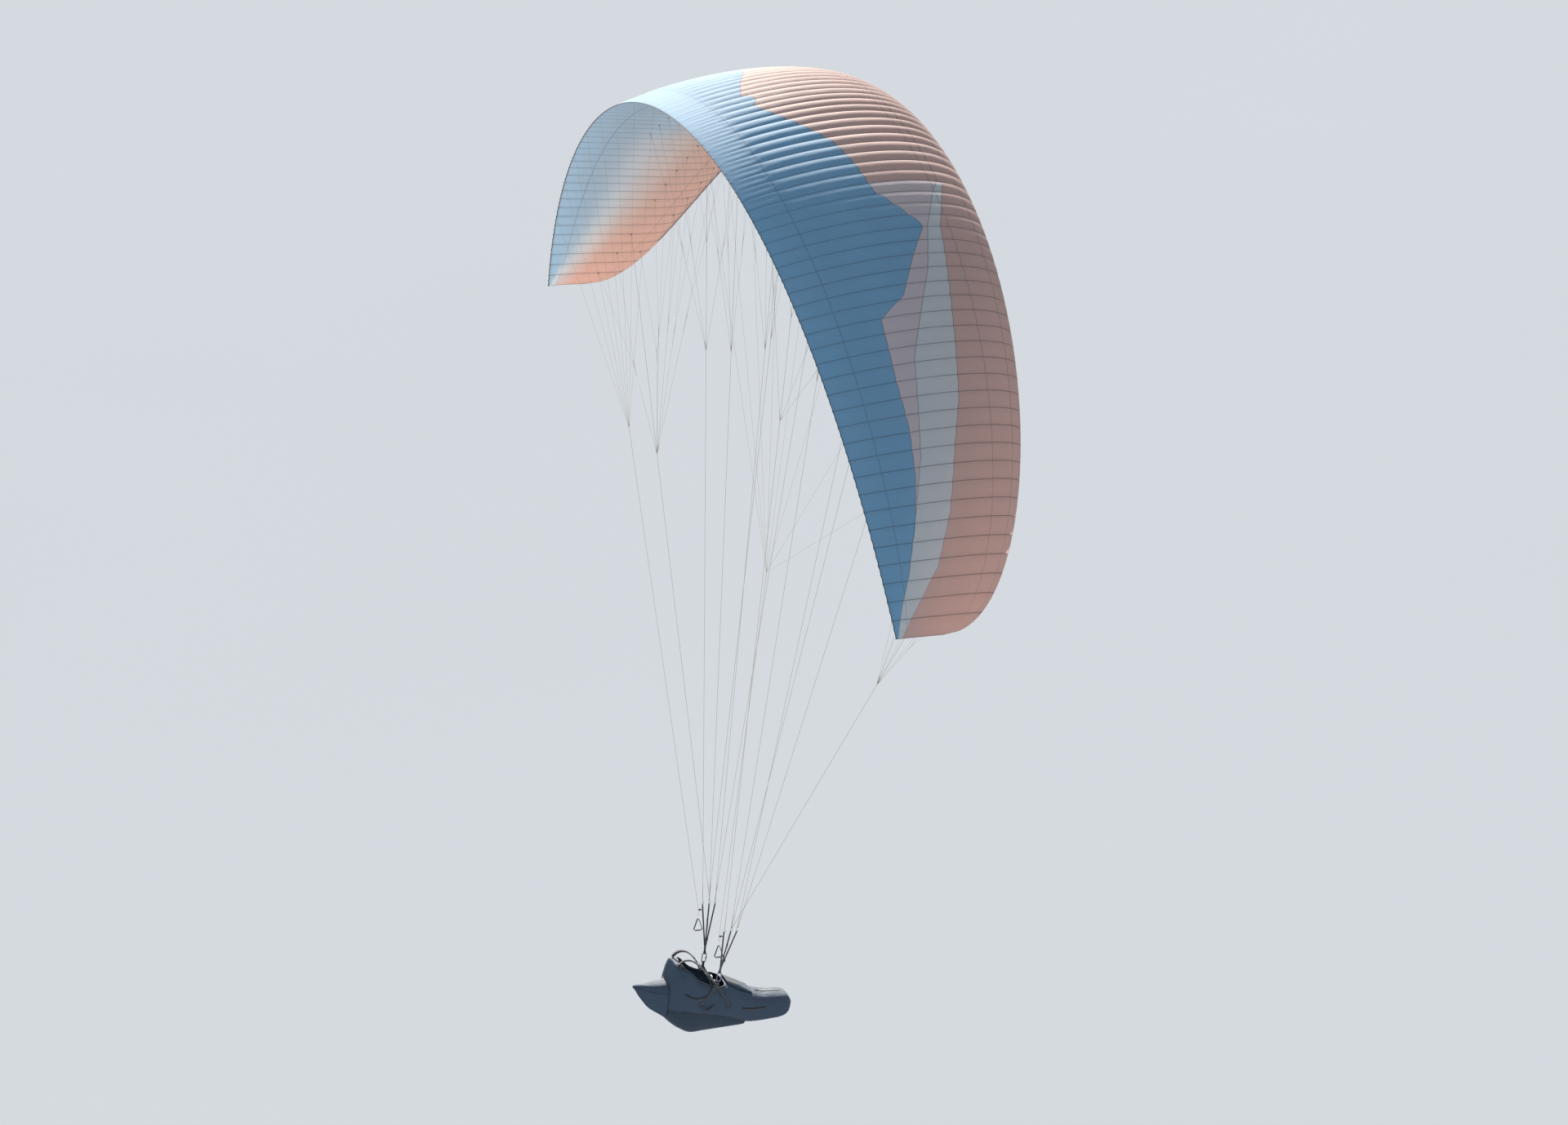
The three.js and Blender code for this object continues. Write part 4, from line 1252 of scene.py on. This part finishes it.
def patch(x, z, half_x, half_z, side):
    """A sewn patch with round corners on the pod's side, and its stitches."""
    lift, turn = 0.0016, around(40)
    edge_x, edge_z = half_x * signed_power(np.cos(turn), 0.4), half_z * signed_power(np.sin(turn), 0.4)
    rings = [on_side(x + share * edge_x, z + share * edge_z, side, out)
             for share, out in ((1.0, -0.0006), (0.985, lift), (0.6, lift), (0.2, lift))]
    faces = face_list(4, 40, closed=True) + [list(range(120, 160))]
    patches.add(rings, faces if side < 0 else [f[::-1] for f in faces])
    row = on_side(x + 0.88 * edge_x, z + 0.88 * edge_z, side, lift + 0.0001)
    thread.stitches(np.vstack([row, row[:1]]), pitched((0, side, 0)))


teeth, zip_tape, pulls = Soup(), Soup(), Soup()
zip_line(laid(pod_tree, np.linspace(0.47, 0.74, 60), 0, -0.2, DOWN, 0.0008), HARNESS_UP, teeth, zip_tape, 0.1)
STRAP_FEET = ((0.15, -0.335), (-0.14, -0.335))  # where the hang straps are sewn to the pod
for _, side in SIDES:
    for x, z in STRAP_FEET:
        patch(x, z, 0.030, 0.034, side)
    # A curved pocket below the mouth, and one on the leg tunnel
    for x0, x1, z0, dip in ((-0.31, -0.06, -0.215, 0.045), (0.30, 0.56, -0.375, 0.012)):
        x = np.linspace(x0, x1, 50)
        z = z0 - dip * (1 - ((x - (x0 + x1) / 2) / (x1 - x0) * 2) ** 2)
        zip_line(on_side(x, z, side, 0.0008), (0, side, 0), teeth, zip_tape, 0.94 if side > 0 else 0.06)
        for shift in (-0.016, 0.016):
            thread.stitches(on_side(x, z + shift, side, 0.0002), (0, side, 0))

# Pull handle of the reserve, a webbing loop on the right
PULL_BACK, PULL_FRONT, PULL_Z = -0.135, -0.005, -0.335
x = np.linspace(PULL_BACK, PULL_FRONT, 33)
bow = np.sin((x - PULL_BACK) / (PULL_FRONT - PULL_BACK) * math.pi)
handle = on_side(x, PULL_Z - 0.045 * bow, -1, 0.002) + np.outer(0.020 * np.maximum(bow, 0) ** 0.6, (0, -1, 0))
pulls.strap(handle, HARNESS_UP, 0.024, 0.0036)
for x in (PULL_BACK, PULL_FRONT):
    patch(x, PULL_Z, 0.020, 0.020, -1)
teeth.piece("zip_teeth", PLASTIC, "harness", "pod_cloth")
zip_tape.piece("zip_tapes", PIPING, "harness", "pod_cloth")
patches.piece("patches", PROTECTOR_CLOTH, "harness", "pod_cloth")
pulls.piece("reserve_handle", HANDLE_WEB, "harness", "harness_webbing")

# Stitching on the hang straps
STRAP_FACE = 0.2316
HANG_FORK = np.array([0, -0.1214])
for _, side in SIDES:
    for end in ((0.150, -0.330), (-0.140, -0.330)):
        run = end - HANG_FORK
        away = np.array([-run[1], run[0]]) / np.linalg.norm(run)
        rows = [(np.linspace(0.08, 0.97, 30), shift, ()) for shift in (-0.0095, 0.0095)]
        rows += [(share, np.linspace(-0.009, 0.009, 4), (0.0035, 0.003)) for share in (0.86, 0.89, 0.92, 0.95)]
        for share, shift, sizes in rows:
            spot_x, spot_z = (HANG_FORK[k] + run[k] * share + away[k] * shift for k in (0, 1))
            thread.stitches(placed(spot_x, side * STRAP_FACE, spot_z), (0, side, 0), *sizes)
    for z in np.arange(-0.136, -0.100, 0.006):
        row = placed(np.linspace(-0.011, 0.011, 5), side * STRAP_FACE, z)
        thread.stitches(row, (0, side, 0), 0.0040, 0.0034)


# Risers: stitching, speed system and brake grips
RISER_LEAN, RISER_PITCH = math.radians(12), math.radians(6.5)
KARABINER_Y, BOW = 0.230, 0.020
# Foot x, top x and top z of each strap
STRAPS = {"a": (0.005, 0.072, 0.480), "b": (0, 0.012, 0.478), "c": (-0.005, -0.055, 0.470)}
STRAP_ROOT = 0.070
STRAP_SKIN, LOOP_SKIN = 0.00155, 0.00305  # from the middle of a strap, and of the lower loop, to its stitches
PULLEYS = (("a", 0.150), ("b", 0.330))  # strap and height of each pulley of the speed system
GROOVE = ((0.0045, 0.0085), (0.0060, 0.0072), (0.0075, 0.0085))  # a pulley's rings: how far out, radius
CORD_RADIUS = 0.0011
HOOK_LENGTH, HOOK_DROP = 0.020, 0.015  # the speed cord's hook, and how far its middle is below the cord
GRIP_HALF, GRIP_WIDTH, GRIP_THICKNESS = 0.030, 0.0255, 0.0105


def on_riser(x, y, z, side):
    """Points of an upright riser, with the origin on its karabiner's upper bow, where the riser really is."""
    lean = side * RISER_LEAN
    points = xyz(x, y * math.cos(lean) + z * math.sin(lean), z * math.cos(lean) - y * math.sin(lean) + BOW)
    return pitched(points, RISER_PITCH) + HANG + (0, side * KARABINER_Y, 0)


def strap_x(strap, z):
    foot, top, height = STRAPS[strap]
    return foot + (top - foot) * (z - STRAP_ROOT) / (height - STRAP_ROOT)


for name, side in SIDES:
    seams, pulleys, cords, hook = Soup(), Soup(), Soup(), Soup()
    out = on_riser(0, 1, 0, side) - on_riser(0, 0, 0, side)
    for strap, (_, _, height) in STRAPS.items():
        for way in (-1, 1):
            z = np.linspace(STRAP_ROOT + 0.02, height - 0.008, 70)
            for shift in (-0.0045, 0.0045):
                row = on_riser(strap_x(strap, z) + shift, way * STRAP_SKIN, z, side)
                seams.stitches(row, out * way, 0.0075, 0.005)
            for z in np.arange(height - 0.048, height - 0.010, 0.0045):
                row = on_riser(strap_x(strap, z) + np.linspace(-0.006, 0.006, 4), way * STRAP_SKIN, z, side)
                seams.stitches(row, out * way, 0.0036, 0.003)
    for way in (-1, 1):
        for z in np.arange(0.032, 0.078, 0.005):
            row = on_riser(np.linspace(-0.0085, 0.0085, 5), way * LOOP_SKIN, z, side)
            seams.stitches(row, out * way, 0.0036, 0.003)
    seams.piece(f"riser_stitching_{name}", THREAD, "wing", "riser_webbing")

    # Two small pulleys at the front straps, with the speed cord round them
    turn = around(24)
    for strap, z in PULLEYS:
        x = strap_x(strap, z)
        rings = [on_riser(x + radius * np.cos(turn), side * y, z + radius * np.sin(turn), side)
                 for y, radius in GROOVE]
        pulleys.add(rings, face_list(3, 24, closed=True) + [list(range(24))[::-1], list(range(48, 72))])
        pulleys.tube([on_riser(x, side * y, z, side) for y in (0.0014, 0.0090)], 0.0022, 10)
    runs = [[on_riser(strap_x(strap, z) + shift, side * 0.006, z, side) for strap, z in PULLEYS]
            for shift in (0.007, -0.007)]
    # The speed cord ends in a hook that the pull of the risers holds up against the lower pulley
    start = runs[0][0]
    hook_middle = start - UP * HOOK_DROP
    for run in (*runs, (start, hook_middle)):
        cords.tube(run, CORD_RADIUS, 6)
    ribbed_sleeve(hook, hook_middle, UP, HOOK_LENGTH, 0.0032, 5, 14)
    hook.piece(f"speed_hook_{name}", PLASTIC, "wing", "pulley_plastic")
    pulleys.piece(f"speed_pulleys_{name}", PLASTIC, "wing", "pulley_plastic")
    cords.piece(f"speed_cord_{name}", UPPER_SHEATH, "wing", "line_sheath")

    # A soft grip round the handle's lower bar, and a swivel where the line comes in
    low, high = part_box(f"brake_handle_{name}")
    middle = (low + high) / 2
    grip, swivel = Soup(), Soup()
    along = np.linspace(-1, 1, 13)
    x = middle.x + GRIP_HALF * along
    rings = [lens(GRIP_WIDTH * swell, GRIP_THICKNESS * swell, 18) for swell in 1 - 0.16 * along**4]
    grip.swept(xyz(x, middle.y, low.z + 0.002), (0, 1, 0), np.stack(rings))
    for y in (-0.006, 0.006):
        grip.stitches(xyz(x[1:-1], middle.y + y, low.z + 0.0071), UP)
    grip.piece(f"brake_grip_{name}", HANDLE_WEB, f"brake_{name}", "handle_webbing")
    ribbed_sleeve(swivel, np.array([middle.x, middle.y, high.z + 0.004]), UP, 0.014, 0.0042, 3, 14)
    swivel.piece(f"brake_swivel_{name}", STEEL, f"brake_{name}")

trim.piece("piping", PIPING, "harness", "pod_cloth")
thread.piece("stitching", THREAD, "harness", "pod_cloth")

# CAD nodes that stay get their finish
NODE_LOOKS = {
    "riser_": WEBBING, "maillon_": STEEL, "pulley_": PLASTIC, "brake_handle_": WEBBING, "karabiner_": ALLOY,
    "hang_strap_": WEBBING, "chest_buckle": STEEL, "seat_board": COMPOSITE, "foot_plate": COMPOSITE,
}
for start, look in NODE_LOOKS.items():
    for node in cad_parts:
        if node.startswith(start):
            dress(node, look)

# Studio
FLOOR_DROP, FLOOR_REACH = 2.5, 400.0
KEY_ELEVATION = math.radians(21.5)
EYE, TARGET = Vector((-14.72, -39.91, 11.40)), Vector((-0.35, 0, -4.35))
CAMERA_ROLL = math.radians(2)

floor_look = Look("studio_floor", roughness=0.85, specular_ior_level=0.0)
floor_look.colour(floor_look.faded((0.38, 0.405, 0.44), 0.02, 0.05))
floor_z = cad_box[0].z - FLOOR_DROP
floor = [(x * FLOOR_REACH, y * FLOOR_REACH, floor_z) for x, y in ((-1, -1), (1, -1), (1, 1), (-1, 1))]
mesh_object("floor", floor, [(0, 1, 2, 3)], floor_look.material)

world = bpy.data.worlds.new("studio")
bpy.context.scene.world = world
world.use_nodes = True
sky = world.node_tree.nodes["Background"].inputs
sky["Color"].default_value = (0.80, 0.91, 1.0, 1)
sky["Strength"].default_value = 0.6

key = bpy.data.lights.new("key", "SUN")
key.energy = 11.0
key.angle = math.radians(6)
key.color = (1.0, 0.94, 0.86)
toward_key = Vector((0.2, math.cos(KEY_ELEVATION), math.sin(KEY_ELEVATION)))
linked("key", key).rotation_euler = toward_key.to_track_quat("Z", "Y").to_euler()

camera = bpy.data.cameras.new("camera")
camera.lens = 110
camera.clip_end = 2000
eye = linked("camera", camera)
eye.location = EYE
looking = (TARGET - EYE).to_track_quat("-Z", "Y") @ Quaternion((0, 0, 1), CAMERA_ROLL)
eye.rotation_euler = looking.to_euler()
bpy.context.scene.camera = eye
bpy.context.scene.view_settings.view_transform = "Standard"
